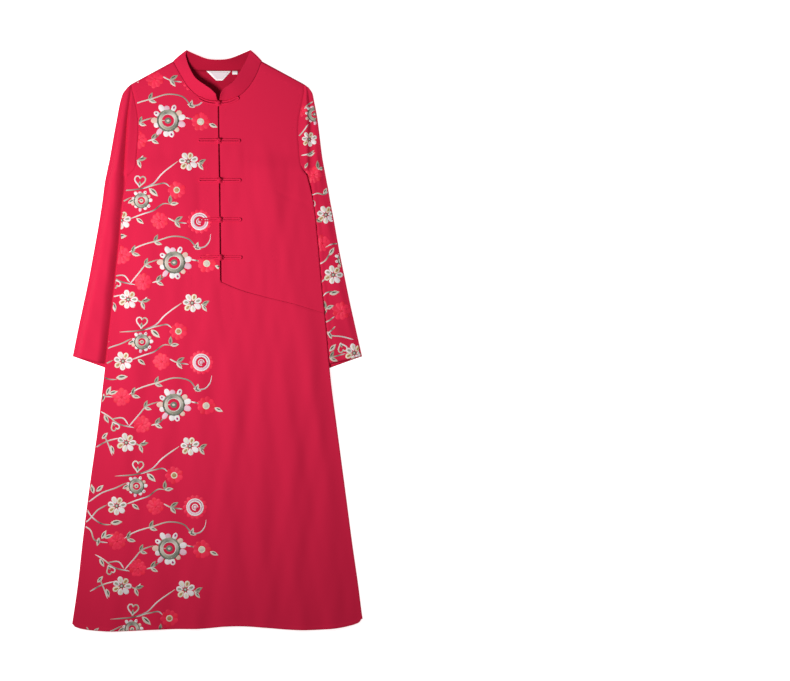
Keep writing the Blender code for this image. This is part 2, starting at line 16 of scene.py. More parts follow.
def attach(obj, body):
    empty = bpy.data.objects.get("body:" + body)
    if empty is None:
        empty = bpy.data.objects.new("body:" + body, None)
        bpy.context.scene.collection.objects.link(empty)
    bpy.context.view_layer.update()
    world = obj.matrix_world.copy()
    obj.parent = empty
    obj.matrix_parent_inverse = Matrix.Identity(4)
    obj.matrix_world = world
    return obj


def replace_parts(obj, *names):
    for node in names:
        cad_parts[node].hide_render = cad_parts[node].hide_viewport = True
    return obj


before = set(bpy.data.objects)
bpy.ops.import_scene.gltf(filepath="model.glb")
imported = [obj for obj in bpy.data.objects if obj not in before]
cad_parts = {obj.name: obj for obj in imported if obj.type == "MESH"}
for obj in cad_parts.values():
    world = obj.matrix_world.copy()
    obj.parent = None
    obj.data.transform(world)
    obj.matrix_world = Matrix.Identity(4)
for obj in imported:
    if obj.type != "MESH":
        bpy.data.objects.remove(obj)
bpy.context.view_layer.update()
MM = 0.001
print("solids:", ", ".join(sorted(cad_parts)))

# %% [markdown]
# ## The measures of the dress
#
# A pattern cutter would write the dress down as a few short tables of widths at given heights.
# LEFT and RIGHT are as seen from above, so LEFT is the wearer's right. All rows are millimetres,
# with y measured from the middle of the dress towards the collar.

# %% The pattern's tables
LEFT, RIGHT = -1, 1
CLOTH = 1.2 * MM
COLLAR_WALL = 1.6 * MM
SEAM = 0.3 * MM
PLACKET = 3.4 * MM
UNDERARM_Y, COLLAR_Y, HEM_CORNER_Y, DIAGONAL_TOP_Y = 360 * MM, 515 * MM, -603 * MM, 127 * MM
SIDE_WRAP, UNDERARM_WRAP, WRAP_TAPER = 15 * MM, 2.6 * MM, 70 * MM


def table(*rows):
    """Rows of millimetres as an array of metres."""
    return np.array(rows) * MM


# How far the side edges stand from the middle line: y, left, right
BODY_SIDES = table(
    (-640, 319.0, 321.0), (-603, 313.2, 315.0), (-532, 303.0, 305.8), (-442, 293.0, 292.9),
    (-353, 282.0, 281.2), (-288, 273.2, 272.6), (-199, 260.5, 260.8), (-88, 246.9, 246.5),
    (38, 232.7, 235.0), (140, 221.4, 224.5), (225, 212.5, 217.0), (310, 204.7, 206.7),
    (360, 194.4, 194.5),
)
# The armholes, from the underarm to the shoulder: y, left, right
ARMHOLES = table(
    (360, 194.4, 194.5), (364, 188.5, 191.0), (371, 181.5, 186.0), (380, 177.8, 182.8),
    (396, 176.7, 180.0), (416, 175.3, 178.2), (440, 173.3, 176.3), (464, 172.4, 176.0),
    (486, 173.6, 178.0), (507, 176.8, 182.4), (527, 181.0, 186.8), (543, 185.0, 189.2),
    (556.5, 188.4, 189.5),
)
# The hem of the front, from side to side: x, y
HEM = table(
    (-315, -610), (-310, -619), (-301, -624), (-286, -627.8), (-262, -630.6), (-229, -632.3),
    (-177, -630.9), (-142, -628.8), (-90, -627.2), (-20, -625.4), (14, -621.8), (49, -621),
    (101, -624), (154, -628.4), (200, -629.2), (241, -627), (262, -624.6), (284, -620.2),
    (299, -616), (308, -611.5), (315, -603),
)
# The front opening and the middle line below it: y, x
MIDDLE_LINE = table((-632, 0), (0, 6.5), (127, 8.2), (360, 5.3), (515, 2.6))
# The slanting seam from the foot of the opening to the right side: x, y
DIAGONAL = table((8, 127), (43.7, 112), (103.5, 94.6), (168.8, 78.3), (233, 57.6))
# The collar, from the front middle round the tip to the back middle:
# seam left x, seam right x, seam y, seam z, top left x, top right x, top y, top z
COLLAR = table(
    (1.2, 4.2, 520.0, 4.0, -2.0, 9.0, 534.0, 23.0),
    (-22.0, 26.5, 523.4, 4.0, -14.0, 16.0, 546.0, 23.5),
    (-43.0, 48.5, 533.6, 4.0, -30.0, 31.0, 557.0, 22.0),
    (-61.5, 66.5, 550.6, 4.0, -45.5, 42.0, 569.0, 19.5),
    (-75.5, 80.5, 571.5, 3.9, -57.5, 52.5, 588.0, 16.0),
    (-86.5, 89.5, 590.5, 3.8, -64.5, 62.0, 605.5, 12.5),
    (-92.8, 93.2, 602.0, 3.5, -68.0, 69.0, 622.0, 10.5),
    (-95.2, 96.0, 607.4, 2.7, -65.6, 72.2, 630.2, 9.0),
    (-95.2, 96.0, 607.4, 1.5, -66.5, 71.4, 630.6, 7.2),
    (-90.6, 91.4, 603.6, 1.0, -60.5, 65.0, 628.0, 6.5),
    (-70.0, 72.0, 592.8, 1.0, -43.0, 47.0, 620.0, 8.5),
    (-38.0, 41.0, 588.6, 1.0, -22.0, 26.0, 611.8, 12.0),
    (2.3, 2.3, 588.0, 1.0, 2.3, 2.3, 609.2, 14.0),
)
NECK_SIDE, NECK_BACK = 7, 8  # rows of COLLAR that the front and back panels meet
# The sleeves' outer fold, and the inner fold that the body hides: y, left, right
SLEEVE_OUTER = table(
    (-34.8, 314.0, 314.0), (25, 302.0, 300.5), (80, 290.2, 288.2), (136, 278.5, 276.6),
    (190, 268.5, 265.5), (230, 261.3, 258.3), (268, 254.8, 251.5), (300, 249.8, 245.4),
    (328, 246.3, 240.6), (348, 243.3, 236.8), (360, 240.9, 234.6), (393, 233.9, 228.4),
    (438, 226.0, 222.6), (484, 217.5, 216.7), (522, 209.8, 209.4), (538, 204.4, 205.9),
    (550, 195.0, 197.5),
)
SLEEVE_INNER = table(
    (-57.5, 210, 212), (6, 192, 193), (68, 175, 176), (128, 158, 159), (186, 141, 142),
    (230, 128, 129), (270, 118, 119), (302, 124, 125), (330, 148, 149), (350, 178, 179),
)
# Where each row of a sleeve crosses its outer fold, and the armhole or the inner fold: y, y
SLEEVE_CAP_OUTER_Y = np.array((360, 367, 376, 393, 414, 438, 462, 484, 504, 522, 538, 550)) * MM
SLEEVE_LOW_ROWS = table(
    (348, 350), (328, 330), (300, 302), (268, 270), (230, 230), (190, 186), (136, 128),
    (80, 68), (25, 6), (-34.8, -57.5),
)
dress_length, hem_width = COLLAR[:, 6].max() - HEM[:, 1].min(), BODY_SIDES[1, 1:].sum()
print("length collar to hem, mm:", round(dress_length / MM, 1))
print("hem width, mm:", round(hem_width / MM, 1))

# %% [markdown]
# ## Reading the tables
#
# A table with a row every few centimetres would give a dress with corners. A Hermite curve runs
# smoothly through the rows and never overshoots by much, which is how a cutter's curved ruler
# joins the marks. Everything takes whole arrays, so that thousands of points cost one call.

# %% Smooth curves through the tables


def ease(t):
    """0 below 0, 1 above 1 and smooth between."""
    t = np.clip(t, 0, 1)
    return t * t * (3 - 2 * t)


def read(rows, at, column):
    """A table's column at values of its first column, on a smooth curve through its rows."""
    keys, values = rows[:, 0], rows[:, column]
    slopes = np.gradient(values, keys)
    i = np.clip(np.searchsorted(keys, at) - 1, 0, len(keys) - 2)
    step = keys[i + 1] - keys[i]
    t = np.clip((at - keys[i]) / step, 0, 1)
    ends = (1 + 2 * t) * (1 - t) ** 2 * values[i] + t * t * (3 - 2 * t) * values[i + 1]
    return ends + t * (1 - t) ** 2 * step * slopes[i] + t * t * (t - 1) * step * slopes[i + 1]


def of_side(side):
    """The column of a y, left, right table."""
    return 1 if side == LEFT else 2


def panel_edge(x, y):
    """Distance of the panels' outer edge from x = 0: the side below the underarm, the armhole above."""
    x, y = np.asarray(x, float), np.asarray(y, float)
    sides = [
        np.where(y <= UNDERARM_Y, read(BODY_SIDES, y, column), read(ARMHOLES, y, column))
        for column in (1, 2)
    ]
    return np.where(x < 0, *sides)


def middle(y):
    return np.interp(y, MIDDLE_LINE[:, 0], MIDDLE_LINE[:, 1])


def hem(x):
    return read(HEM, x, 1)


def smooth_line(points, count):
    """A smooth line through points, cut into evenly spaced ones."""
    points = np.array(points, float)
    steps = np.linalg.norm(np.diff(points, axis=0), axis=1)
    lengths = np.concatenate([[0], np.cumsum(steps)])
    fine = np.linspace(0, lengths[-1], count)
    columns = [read(np.stack([lengths, points[:, i]], axis=1), fine, 1) for i in range(points.shape[1])]
    return np.stack(columns, axis=1)


def distance_to(line, x, y):
    """Distance of plan points from a plan line."""
    nearest = np.full(np.shape(x), 9.0)
    for (ax, ay), (bx, by) in zip(line, line[1:]):
        length = (bx - ax) ** 2 + (by - ay) ** 2
        t = np.clip(((x - ax) * (bx - ax) + (y - ay) * (by - ay)) / length, 0, 1)
        nearest = np.minimum(nearest, np.hypot(x - ax - t * (bx - ax), y - ay - t * (by - ay)))
    return nearest


print("waist width, mm:", round(float(panel_edge(-1, 0.2) + panel_edge(1, 0.2)) / MM, 1))

# %% [markdown]
# ## How the layers lie on each other
#
# Laid flat, the back touches the table. Its sides ride up a few millimetres over the sleeves
# tucked behind them, and the front lies on the back with a little air between. The folds are
# long, low ridges that start at the bust or the waist and widen towards the hem, as cloth cut on a
# flare does. Each is a bell-shaped ridge along a line, which stays smooth however fine the mesh.
# Between them the cloth is never quite flat, so a few long waves of different directions are added.

# %% The height of every layer
EDGE_GAP, MIDDLE_GAP, MOST_GAP = 2.0 * MM, 2.2 * MM, 10.0 * MM
SHOULDER_GAP, SHOULDER_SLOPE, SHOULDER_Y = 0.6 * MM, 0.12, 455 * MM
EDGE_RUN, ARMHOLE_RUN, ARMHOLE_START = 45 * MM, 60 * MM, 0.35
CALM_Y, CALM_RUN = 400 * MM, 60 * MM  # where the folds die away below the neck
HIDDEN_GAP, SLEEVE_FLOOR = 0.8 * MM, 0.15 * MM
TUCK_LIFT = 3.7 * MM
LIFT_MARGIN, LIFT_RUN = 25 * MM, 60 * MM
LIFT_FULL_Y, LIFT_NONE_Y = (-100 * MM, 368 * MM), (-190 * MM, 410 * MM)
LIFT_LINE = table((-59, 210), (270, 118), (410, 118))
FOLD_FADE = 90 * MM
# Ridges: top x, top y, low x, low y, half-width, height
FOLDS = table(
    (-150, 250, -248, -720, 26, 3.4),
    (-95, 90, -148, -720, 30, 3.8),
    (-30, 60, -56, -720, 26, 3.4),
    (38, 40, 15, -720, 27, 4.6),
    (92, 60, 97, -720, 24, 4.0),
    (140, 40, 185, -720, 25, 4.6),
    (190, 120, 268, -720, 24, 3.6),
    (-118, 440, -100, 200, 34, 2.4),
    (108, 430, 128, 200, 34, 3.0),
    (60, 330, 52, 60, 22, 1.6),
)
# Long waves of the cloth: length across, length along, start, height
WAVES = table((95, 420, 20, 0.55), (61, 300, 77, 0.4), (-83, 510, 31, 0.5), (-47, 260, 5, 0.3),
              (37, -190, 64, 0.22), (29, 150, 12, 0.16))


def lift(x, y):
    """How far the body rides up, where a sleeve lies under it."""
    inner = np.interp(y, LIFT_LINE[:, 0], LIFT_LINE[:, 1])
    across = ease((np.abs(x) - inner + LIFT_MARGIN + LIFT_RUN) / LIFT_RUN)
    low, high = (ease((y - none) / (full - none)) for full, none in zip(LIFT_FULL_Y, LIFT_NONE_Y))
    return TUCK_LIFT * across * low * high


def folds(x, y):
    """The height of the folds and waves."""
    height = 0.5 * MM
    for top_x, top_y, low_x, low_y, half_width, rise in FOLDS:
        t = np.clip((top_y - y) / (top_y - low_y), 0, 1)
        line = top_x + t * (low_x - top_x)
        fades = ease((top_y - y) / FOLD_FADE) * ease((y - low_y) / FOLD_FADE)
        height = height + rise * fades * np.exp(-(((x - line) / half_width) ** 2))
    for across, along, start, rise in WAVES:
        height = height + rise * np.sin(2 * math.pi * (x / across + y / along) + start / MM)
    return np.maximum(height, 0)


def shoulder_distance(x, y):
    """How far a point lies below the line of its shoulder."""
    found = []
    for side in (LEFT, RIGHT):
        neck = np.array(neck_edge(side, NECK_SIDE))
        tip = np.array((side * ARMHOLES[-1, of_side(side)], ARMHOLES[-1, 0]))
        along = (tip - neck) / np.linalg.norm(tip - neck)
        found.append(np.abs(along[0] * (y - neck[1]) - along[1] * (x - neck[0])))
    return np.where(np.asarray(x) < 0, *found)


def collar_point(side, row, at_top):
    """A point of the collar's seam, or of its top edge."""
    first = 4 if at_top else 0
    x = COLLAR[row, first + (0 if side == LEFT else 1)]
    return np.array((x, COLLAR[row, first + 2], COLLAR[row, first + 3]))


def neck_edge(side, row, away=1.1 * MM):
    """The plan point of the neckline beside a collar row, outside the collar's seam."""
    seam, top = (collar_point(side, row, at_top)[:2] for at_top in (False, True))
    return seam + away * (seam - top) / np.linalg.norm(seam - top)


def gap(x, y):
    """The air between the back and the front."""
    from_edge = panel_edge(x, y) - np.abs(x)
    inward = np.where(
        y <= UNDERARM_Y, ease(from_edge / EDGE_RUN), ease(ARMHOLE_START + from_edge / ARMHOLE_RUN)
    )
    full = EDGE_GAP + (MIDDLE_GAP - EDGE_GAP + folds(x, y)) * inward
    near = SHOULDER_GAP + SHOULDER_SLOPE * shoulder_distance(x, y)
    calm = ease((y - CALM_Y) / CALM_RUN)
    full = full * (1 - calm) + np.minimum(full, EDGE_GAP) * calm
    return np.minimum(np.minimum(full, MOST_GAP), np.where(y > SHOULDER_Y, near, MOST_GAP))


def back_height(x, y):
    """The middle of the back's wall."""
    return CLOTH / 2 + lift(x, y)


print("highest fold, mm:", round(float(gap(38 * MM, -300 * MM)) / MM, 1))

# %% [markdown]
# ## Seams and darts in the cloth
#
# A pressed seam pulls the cloth down along its line, and the eye reads the line from that small
# groove and its shadow far more than from the thread in it. So each seam is a line in plan, and the
# front sinks a few tenths of a millimetre around it. The hem is the other way round: below its line
# of stitches the cloth is folded double, so it stands a little higher.

# %% Grooves along the seams
HEM_DEPTH = 8 * MM  # from the edge to the line of stitches
HEM_STEP, HEM_RUN = 0.45 * MM, 1.5 * MM
MOST_SUNK = 0.8  # of the air below, so that no seam touches the back
BUST_DART = table((129, 325), (160, 309), (203, 292))


def opening_line(side):
    """The edge of the front opening, from its foot to the collar."""
    levels = np.linspace(DIAGONAL_TOP_Y, COLLAR_Y, 12)
    return [(float(middle(y)) + side * PLACKET / 2, y) for y in levels]


def armhole(side):
    return [(side * row[of_side(side)], row[0]) for row in ARMHOLES]


def neckline(side):
    return [tuple(neck_edge(side, row)) for row in range(NECK_SIDE + 1)]


# The lines that sink, and the edge of the opening that curls up: line, depth, half-width
GROOVES = [
    (DIAGONAL, 0.9 * MM, 2.6 * MM),
    (BUST_DART, 0.9 * MM, 2.4 * MM),
    (armhole(LEFT), 1.3 * MM, 2.6 * MM),
    (armhole(RIGHT), 1.3 * MM, 2.6 * MM),
    (neckline(LEFT), 0.5 * MM, 2.6 * MM),
    (neckline(RIGHT), 0.5 * MM, 2.6 * MM),
    (opening_line(LEFT), -0.6 * MM, 6 * MM),
    (opening_line(RIGHT), 0.6 * MM, 2.4 * MM),
]


def front_height(x, y):
    """The middle of the front's wall."""
    x, y = np.asarray(x, float), np.asarray(y, float)
    height = back_height(x, y) + CLOTH + gap(x, y)
    for line, depth, half_width in GROOVES:
        sunk = depth * np.exp(-((distance_to(line, x, y) / half_width) ** 2))
        height = height - np.minimum(sunk, MOST_SUNK * gap(x, y))
    above_hem = y - hem(x)
    return height + HEM_STEP * ease((HEM_DEPTH - above_hem) / HEM_RUN)


print("seam lines pressed into the front:", len(GROOVES))

# %% [markdown]
# ## One helper for every sheet
#
# create_grid makes a flat lattice of square faces. We then send each of its vertices to its place:
# row by row up the piece and column by column across it. The faces, their order and their
# neighbours all come from the operator. The piece also gets a UV map in metres, so a weave drawn on
# it follows the piece's own grain, also where the cloth turns over an edge or stands up. A Solidify
# modifier with its offset at 0 then gives the wall of the cloth, half to each side.

# %% A lattice laid through rows of points
TOUCHING = 0.01 * MM  # points nearer than this are one


def lay_grid(work, rows, uv, tint=None):
    """Adds a grid whose point in row i and column j lies at rows[i][j]. Its UVs are in metres."""
    count_y, count_x = rows.shape[:2]
    verts = bmesh.ops.create_grid(work, x_segments=count_x - 1, y_segments=count_y - 1, size=1)["verts"]
    grain = work.loops.layers.uv.verify()
    thread = work.loops.layers.float_color.get("thread") if tint is not None else None
    order = {vert: divmod(index, count_x) for index, vert in enumerate(verts)}
    for vert, (i, j) in order.items():
        vert.co = rows[i, j]
        for loop in vert.link_loops:
            loop[grain].uv = uv[i, j]
            if thread is not None:
                loop[thread] = tint[i]
    return order


def lengths_along(rows, axis):
    """How far each point of a lattice lies from the start of its row or column."""
    steps = np.linalg.norm(np.diff(rows, axis=axis), axis=2)
    start = np.zeros_like(np.take(steps, [0], axis=axis))
    return np.concatenate([start, np.cumsum(steps, axis=axis)], axis=axis)


def grid_sheet(name, rows, wall, finish, drop=None, close=False, flat_grain=False):
    """A cloth piece through rows of points. drop(i, j) says which faces are cut away."""
    rows = np.array(rows, float)
    uv = rows[:, :, :2] if flat_grain else np.stack(
        [lengths_along(rows, 1), lengths_along(rows, 0)], axis=2
    )
    work = bmesh.new()
    order = lay_grid(work, rows, uv)
    if drop:
        cut = [f for f in work.faces if drop(*np.mean([order[v] for v in f.verts], axis=0))]
        bmesh.ops.delete(work, geom=cut, context="FACES")
    if close:
        bmesh.ops.remove_doubles(work, verts=work.verts, dist=TOUCHING)
    bmesh.ops.recalc_face_normals(work, faces=work.faces)
    area = sum(face.calc_area() for face in work.faces)
    mesh = bpy.data.meshes.new(name)
    work.to_mesh(mesh)
    work.free()
    mesh.shade_smooth()
    piece = add_piece(name, mesh, finish)
    solid = piece.modifiers.new("cloth wall", "SOLIDIFY")
    solid.thickness, solid.offset, solid.use_even_offset = wall, 0, True
    piece["cut_area"] = area
    print(f"{name}: {rows.shape[1]} x {rows.shape[0]} points, {area:.3f} m2 of cloth")
    return piece


def add_piece(name, mesh, finish):
    """An object that shows a mesh in a finish and rides with the dress."""
    piece = bpy.data.objects.new(name, mesh)
    bpy.context.scene.collection.objects.link(piece)
    mesh.materials.append(finish)
    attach(piece, "root")
    return piece


# %% [markdown]
# ## Colour and nodes
#
# Colours are picked as sRGB hex values, as a swatch book lists them, and Blender's sockets take
# linear light, so one function turns them. A second one adds a node with its settings and links. It
# keeps every material short enough to read as a recipe.

# %% Two helpers for materials


def colour(code):
    """An sRGB hex value as linear light."""
    channels = [int(code[i:i + 2], 16) / 255 for i in (1, 3, 5)]
    return [c / 12.92 if c <= 0.04045 else ((c + 0.055) / 1.055) ** 2.4 for c in channels] + [1.0]


def node(tree, kind, links=(), **settings):
    """A node with its settings. Names with a capital are sockets, and links are (socket, output)."""
    made = tree.nodes.new(kind)
    for key, value in settings.items():
        if key[0].isupper():
            made.inputs[key.replace("_", " ")].default_value = value
        else:
            setattr(made, key, value)
    for socket, output in links:
        tree.links.new(output, made.inputs[socket])
    return made


def new_material(name, **constants):
    """A Principled material, its constants set on the shader's own sockets."""
    made = bpy.data.materials.new(name)
    made.use_nodes = True
    shader = made.node_tree.nodes["Principled BSDF"]
    for key, value in constants.items():
        shader.inputs[key.replace("_", " ")].default_value = value
    return made, made.node_tree, shader


def bands(millimetres):
    """The scale of a wave texture whose bands repeat at that many millimetres."""
    return 2 * math.pi / (20 * millimetres * MM)


GRAIN = "UVMap"
CRIMSON, CRIMSON_SHADE = "#F02A58", "#980018"
print("crimson in linear light:", [round(c, 3) for c in colour(CRIMSON)])

# %% [markdown]
# ## Slubbed linen
#
# The cloth is a piece-dyed linen and cotton plain weave. Flax yarn is uneven: it has slubs, short
# thick places that take the dye a little darker and run along the warp and the weft. At the
# distance of the photograph a single 0.6 mm yarn is a third of a pixel, so the weave is drawn at
# 1.3 mm and the slubs at their real length of one to three centimetres. Dyed plant fibre is matt, with
# a faint bloom at grazing angles from its fuzz, which is what the sheen is for.

# %% The crimson linen
YARN = 1.3  # millimetres between yarns as drawn
SLUB_WIDTH, SLUB_DOWN, SLUB_ACROSS = 1.6 * MM, 22 * MM, 16 * MM
CLOUD, SPECK = 45 * MM, 3.4 * MM
SLUB_SHARE, SPECK_SHARE, SHADE_RANGE = 0.55, 1.3, (1.38, 2.02)


def linen(name, light, dark, roughness):
    """Plain-woven, piece-dyed slub linen."""
    made, tree, shader = new_material(
        name, Roughness=roughness, IOR=1.47, Specular_IOR_Level=0.15, Sheen_Weight=0.03,
        Sheen_Roughness=0.45,
    )
    shader.inputs["Sheen Tint"].default_value = colour("#FF9FB0")
    at = node(tree, "ShaderNodeUVMap", uv_map=GRAIN).outputs["UV"]
    warp, weft = (
        node(tree, "ShaderNodeTexWave", [("Vector", at)], bands_direction=direction,
             Scale=bands(YARN), Distortion=1.2, Detail=1.0, Detail_Scale=1.5)
        for direction in ("X", "Y")
    )
    along = node(tree, "ShaderNodeMapping", [("Vector", at)], Scale=(1 / SLUB_WIDTH, 1 / SLUB_DOWN, 1))
    over = node(tree, "ShaderNodeMapping", [("Vector", at)], Scale=(1 / SLUB_ACROSS, 1 / SLUB_WIDTH, 1))
    slubs = [node(tree, "ShaderNodeTexNoise", [("Vector", m.outputs["Vector"])],
                  Scale=1.0, Detail=2.0, Roughness=0.6) for m in (along, over)]
    grain = node(tree, "ShaderNodeMath", [(0, slubs[0].outputs["Fac"]), (1, slubs[1].outputs["Fac"])],
                 operation="ADD")
    cloud, specks = (
        node(tree, "ShaderNodeTexNoise", [("Vector", at)], Scale=1 / size, Detail=3.0, Roughness=rough)
        for size, rough in ((CLOUD, 0.55), (SPECK, 0.7))
    )
    mixed = node(tree, "ShaderNodeMath", [(0, grain.outputs[0]), (2, cloud.outputs["Fac"])],
                 operation="MULTIPLY_ADD")
    mixed.inputs[1].default_value = SLUB_SHARE
    total = node(tree, "ShaderNodeMath", [(0, specks.outputs["Fac"]), (2, mixed.outputs[0])],
                 operation="MULTIPLY_ADD")
    total.inputs[1].default_value = SPECK_SHARE
    share = node(tree, "ShaderNodeMapRange", [("Value", total.outputs[0])])
    for socket, value in zip(("From Min", "From Max"), SHADE_RANGE):
        share.inputs[socket].default_value = value
    dye = node(tree, "ShaderNodeMix", [("Factor", share.outputs["Result"])], data_type="RGBA")
    dye.inputs["A"].default_value, dye.inputs["B"].default_value = colour(dark), colour(light)
    tree.links.new(dye.outputs["Result"], shader.inputs["Base Color"])
    yarns = node(tree, "ShaderNodeMath", [(0, warp.outputs["Fac"]), (1, weft.outputs["Fac"])],
                 operation="MULTIPLY")
    relief = node(tree, "ShaderNodeMath", [(0, grain.outputs[0]), (2, yarns.outputs[0])],
                  operation="MULTIPLY_ADD")
    relief.inputs[1].default_value = 0.9
    bump = node(tree, "ShaderNodeBump", [("Height", relief.outputs[0])],
                Strength=0.8, Distance=0.35 * MM)
    tree.links.new(bump.outputs["Normal"], shader.inputs["Normal"])
    slub_lengths = f"{SLUB_ACROSS / MM:.0f} to {SLUB_DOWN / MM:.0f}"
    print(f"{name}: weave drawn at {YARN} mm, slubs {slub_lengths} mm long")
    return made


crimson_linen = linen("crimson_slub_linen", CRIMSON, CRIMSON_SHADE, 0.85)
# A darker copy of the linen for the inner faces of the back and the collar: painted shade for the inside
# of the neck and the front opening
linen_painted_shade = linen("crimson_slub_linen_painted_shade", "#CC1840", "#7C0012", 0.9)


def line_with_painted_shade(piece, inner_side):
    """Gives the inner side the darker linen that paints its shade. inner_side(face) is positive where a
    face looks in.
    """
    faces_in = sum(inner_side(face) for face in piece.data.polygons) > 0
    piece.data.materials.clear()
    for finish in (linen_painted_shade, crimson_linen) if faces_in else (crimson_linen, linen_painted_shade):
        piece.data.materials.append(finish)
    wall = piece.modifiers["cloth wall"]
    wall.material_offset, wall.material_offset_rim = 1, int(faces_in)


# The darker linen on the inner faces of the back and the collar is painted shade.
print("the reverse lines the back and the collar")

# %% [markdown]
# ## The front
#
# The wearer's right bodice and the whole skirt are cut in one, so this sheet has two halves that
# meet on the middle line. A half is ruled like a fan: its rows run from the side edge to the middle,
# and above the underarm from the armhole to the neckline. At the sides the front turns under to its
# seam, which gives the soft rolled edge that the photograph shows. Rows lie closer together near
# the hem and the slanting seam, where the pressed lines need fine faces.

# %% Rows of a front half
STEP = 5.2 * MM
HALF_WIDTH, SKIRT_LENGTH, UPPER_LENGTH = 0.25, 0.73, 0.26  # metres, for spacing rows and columns alone
OPENING_LEVELS, RULED_ROWS = 12, 58
OPENING_SHARE = 0.92  # the neckline gets some of the opening's rows, because it curves
FLAT_RUN = 14 * MM  # how far the rolled edge takes to reach the height of the front
FINE = np.array((0, 1, 2.2, 3.6, 5.4, 7.2, 8.6, 11)) * MM
FOLD_TURNS = np.radians((25, 50, 75, 100, 125, 150))


def spaced(length, fine_start=True, fine_end=True):
    """Shares from 0 to 1 along a length: a step apart, and finer near the ends asked for."""
    start, end = (FINE if fine_start else FINE[:1]), (FINE if fine_end else FINE[:1])
    between = np.linspace(start[-1], length - end[-1], max(2, round(length / STEP)))
    return np.unique(np.round(np.concatenate([start, between, length - end]) / length, 7))


COLUMNS = spaced(HALF_WIDTH)


def side_wrap(y):
    """How far the front turns under at a level."""
    return UNDERARM_WRAP + (SIDE_WRAP - UNDERARM_WRAP) * ease((UNDERARM_Y - y) / WRAP_TAPER)


def turned_row(side, y, inner):
    """Points from the side seam, under and round the edge, to the inner end of each column."""
    radius = (CLOTH + EDGE_GAP) / 2
    edge = panel_edge(side, y[0])
    low = float(back_height(side * edge, y[0]))
    seam = side * (edge - side_wrap(y[0]))
    points = [(seam, y[0], float(back_height(seam, y[0]))), (side * (edge - radius), y[0], low)]
    for turn in FOLD_TURNS:
        x = side * (edge - radius + radius * math.sin(turn))
        points.append((x, y[0], low + radius * (1 - math.cos(turn))))
    outer = side * (panel_edge(side, y) - radius)
    x = outer + COLUMNS * (inner - outer)
    height = front_height(x, y)
    settle = ease(np.abs(x - outer) / FLAT_RUN)
    height = (low + 2 * radius) * (1 - settle) + height * settle
    return points + list(zip(x, y, height))


def ruled_rows(side):
    """The rows above the underarm, from the armhole to the opening and the neckline."""
    outer = smooth_line(armhole(side), RULED_ROWS)
    levels = np.linspace(UNDERARM_Y, COLLAR_Y, OPENING_LEVELS)[:-1]
    opening = [(float(middle(y)) + side * PLACKET / 2, y) for y in levels]
    share = len(opening) / (len(opening) + NECK_SIDE + 1)
    low_count = round(RULED_ROWS * share * OPENING_SHARE)
    inner = np.concatenate([
        smooth_line(opening + neckline(side)[:1], low_count)[:-1],
        smooth_line(neckline(side), RULED_ROWS - low_count + 1),
    ])
    rows = []
    for a, b in list(zip(outer, inner))[1:]:
        plan = a + COLUMNS[:, None] * (b - a)
        height = front_height(plan[:, 0], plan[:, 1])
        rest = np.full((2 + len(FOLD_TURNS), 3), (*a, height[0]))
        rows.append(list(map(tuple, rest)) + list(zip(plan[:, 0], plan[:, 1], height)))
    return rows


def skirt_rows(side, top_of):
    """The rows of the skirt, from the hem up to a top line."""
    edge_x = side * (panel_edge(side, HEM_CORNER_Y) - (CLOTH + EDGE_GAP) / 2)
    inner_x = float(middle(HEM_CORNER_Y))
    low = hem(edge_x + COLUMNS * (inner_x - edge_x))
    top = top_of(COLUMNS)
    rows = []
    for t in spaced(SKIRT_LENGTH):
        y = low + t * (top - low)
        rows.append(turned_row(side, y, middle(y)))
    return rows


print("columns in a half:", len(COLUMNS), " rows of the skirt:", len(spaced(SKIRT_LENGTH)))

# %% The front and the upper front
DIAGONAL_MIDDLE_Y = 92 * MM


def diagonal_top(shares, clearance):
    """The slanting seam at each column of the right half."""
    outer = panel_edge(RIGHT, DIAGONAL_MIDDLE_Y) - (CLOTH + EDGE_GAP) / 2
    x = outer + shares * (float(middle(DIAGONAL_MIDDLE_Y)) - outer)
    return read(DIAGONAL, x, 1) + clearance


def make_front():
    left = skirt_rows(LEFT, lambda shares: np.full(len(shares), DIAGONAL_TOP_Y))
    right = skirt_rows(RIGHT, lambda shares: diagonal_top(shares, -SEAM / 2))
    rows = [a + b[::-1][1:] for a, b in zip(left, right)]
    half = len(left[0])
    nothing = [(9.0, 9.0, 9.0)] * (half - 1)
    skirt_count = len(rows)
    bodice = UNDERARM_Y - DIAGONAL_TOP_Y
    for y in DIAGONAL_TOP_Y + spaced(bodice, False, False)[1:] * bodice:
        level = np.full(len(COLUMNS), y)
        rows.append(turned_row(LEFT, level, middle(level) - PLACKET / 2) + nothing)
    bodice_count = len(rows)
    rows += [row + nothing for row in ruled_rows(LEFT)]
    turned = 2 + len(FOLD_TURNS)

    def outside(i, j):
        return (i > skirt_count - 1 and j > half - 1) or (i > bodice_count - 1 and j < turned)

    return grid_sheet("front_cloth", rows, CLOTH, crimson_linen,
                      outside, flat_grain=True)


def make_upper_front():
    low = diagonal_top(COLUMNS, SEAM / 2)
    rows = []
    for t in spaced(UPPER_LENGTH, True, False):
        y = low + t * (UNDERARM_Y - low)
        rows.append(turned_row(RIGHT, y, middle(y) + PLACKET / 2))
    bodice_count = len(rows)
    rows += ruled_rows(RIGHT)
    turned = 2 + len(FOLD_TURNS)
    return grid_sheet("upper_front_cloth", rows, CLOTH, crimson_linen,
                      lambda i, j: i > bodice_count - 1 and j < turned, flat_grain=True)


front = make_front()
upper_front = make_upper_front()
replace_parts(front, "front_main")
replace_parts(upper_front, "upper_front")

# %% [markdown]
# ## The back
#
# The back is one piece from shoulder to hem, flat on the table. It shows through the neck and from
# below, where its side edges stop at the front's turned seams, the slits at the hem and the mouth
# of a pocket in the wearer's left seam. Above the underarm its rows bend from a straight line across
# to the line of the shoulders and the neck. A Coons patch does that: it is the shape that four
# given edges pull a sheet into. Two long waist darts are pressed in from outside.

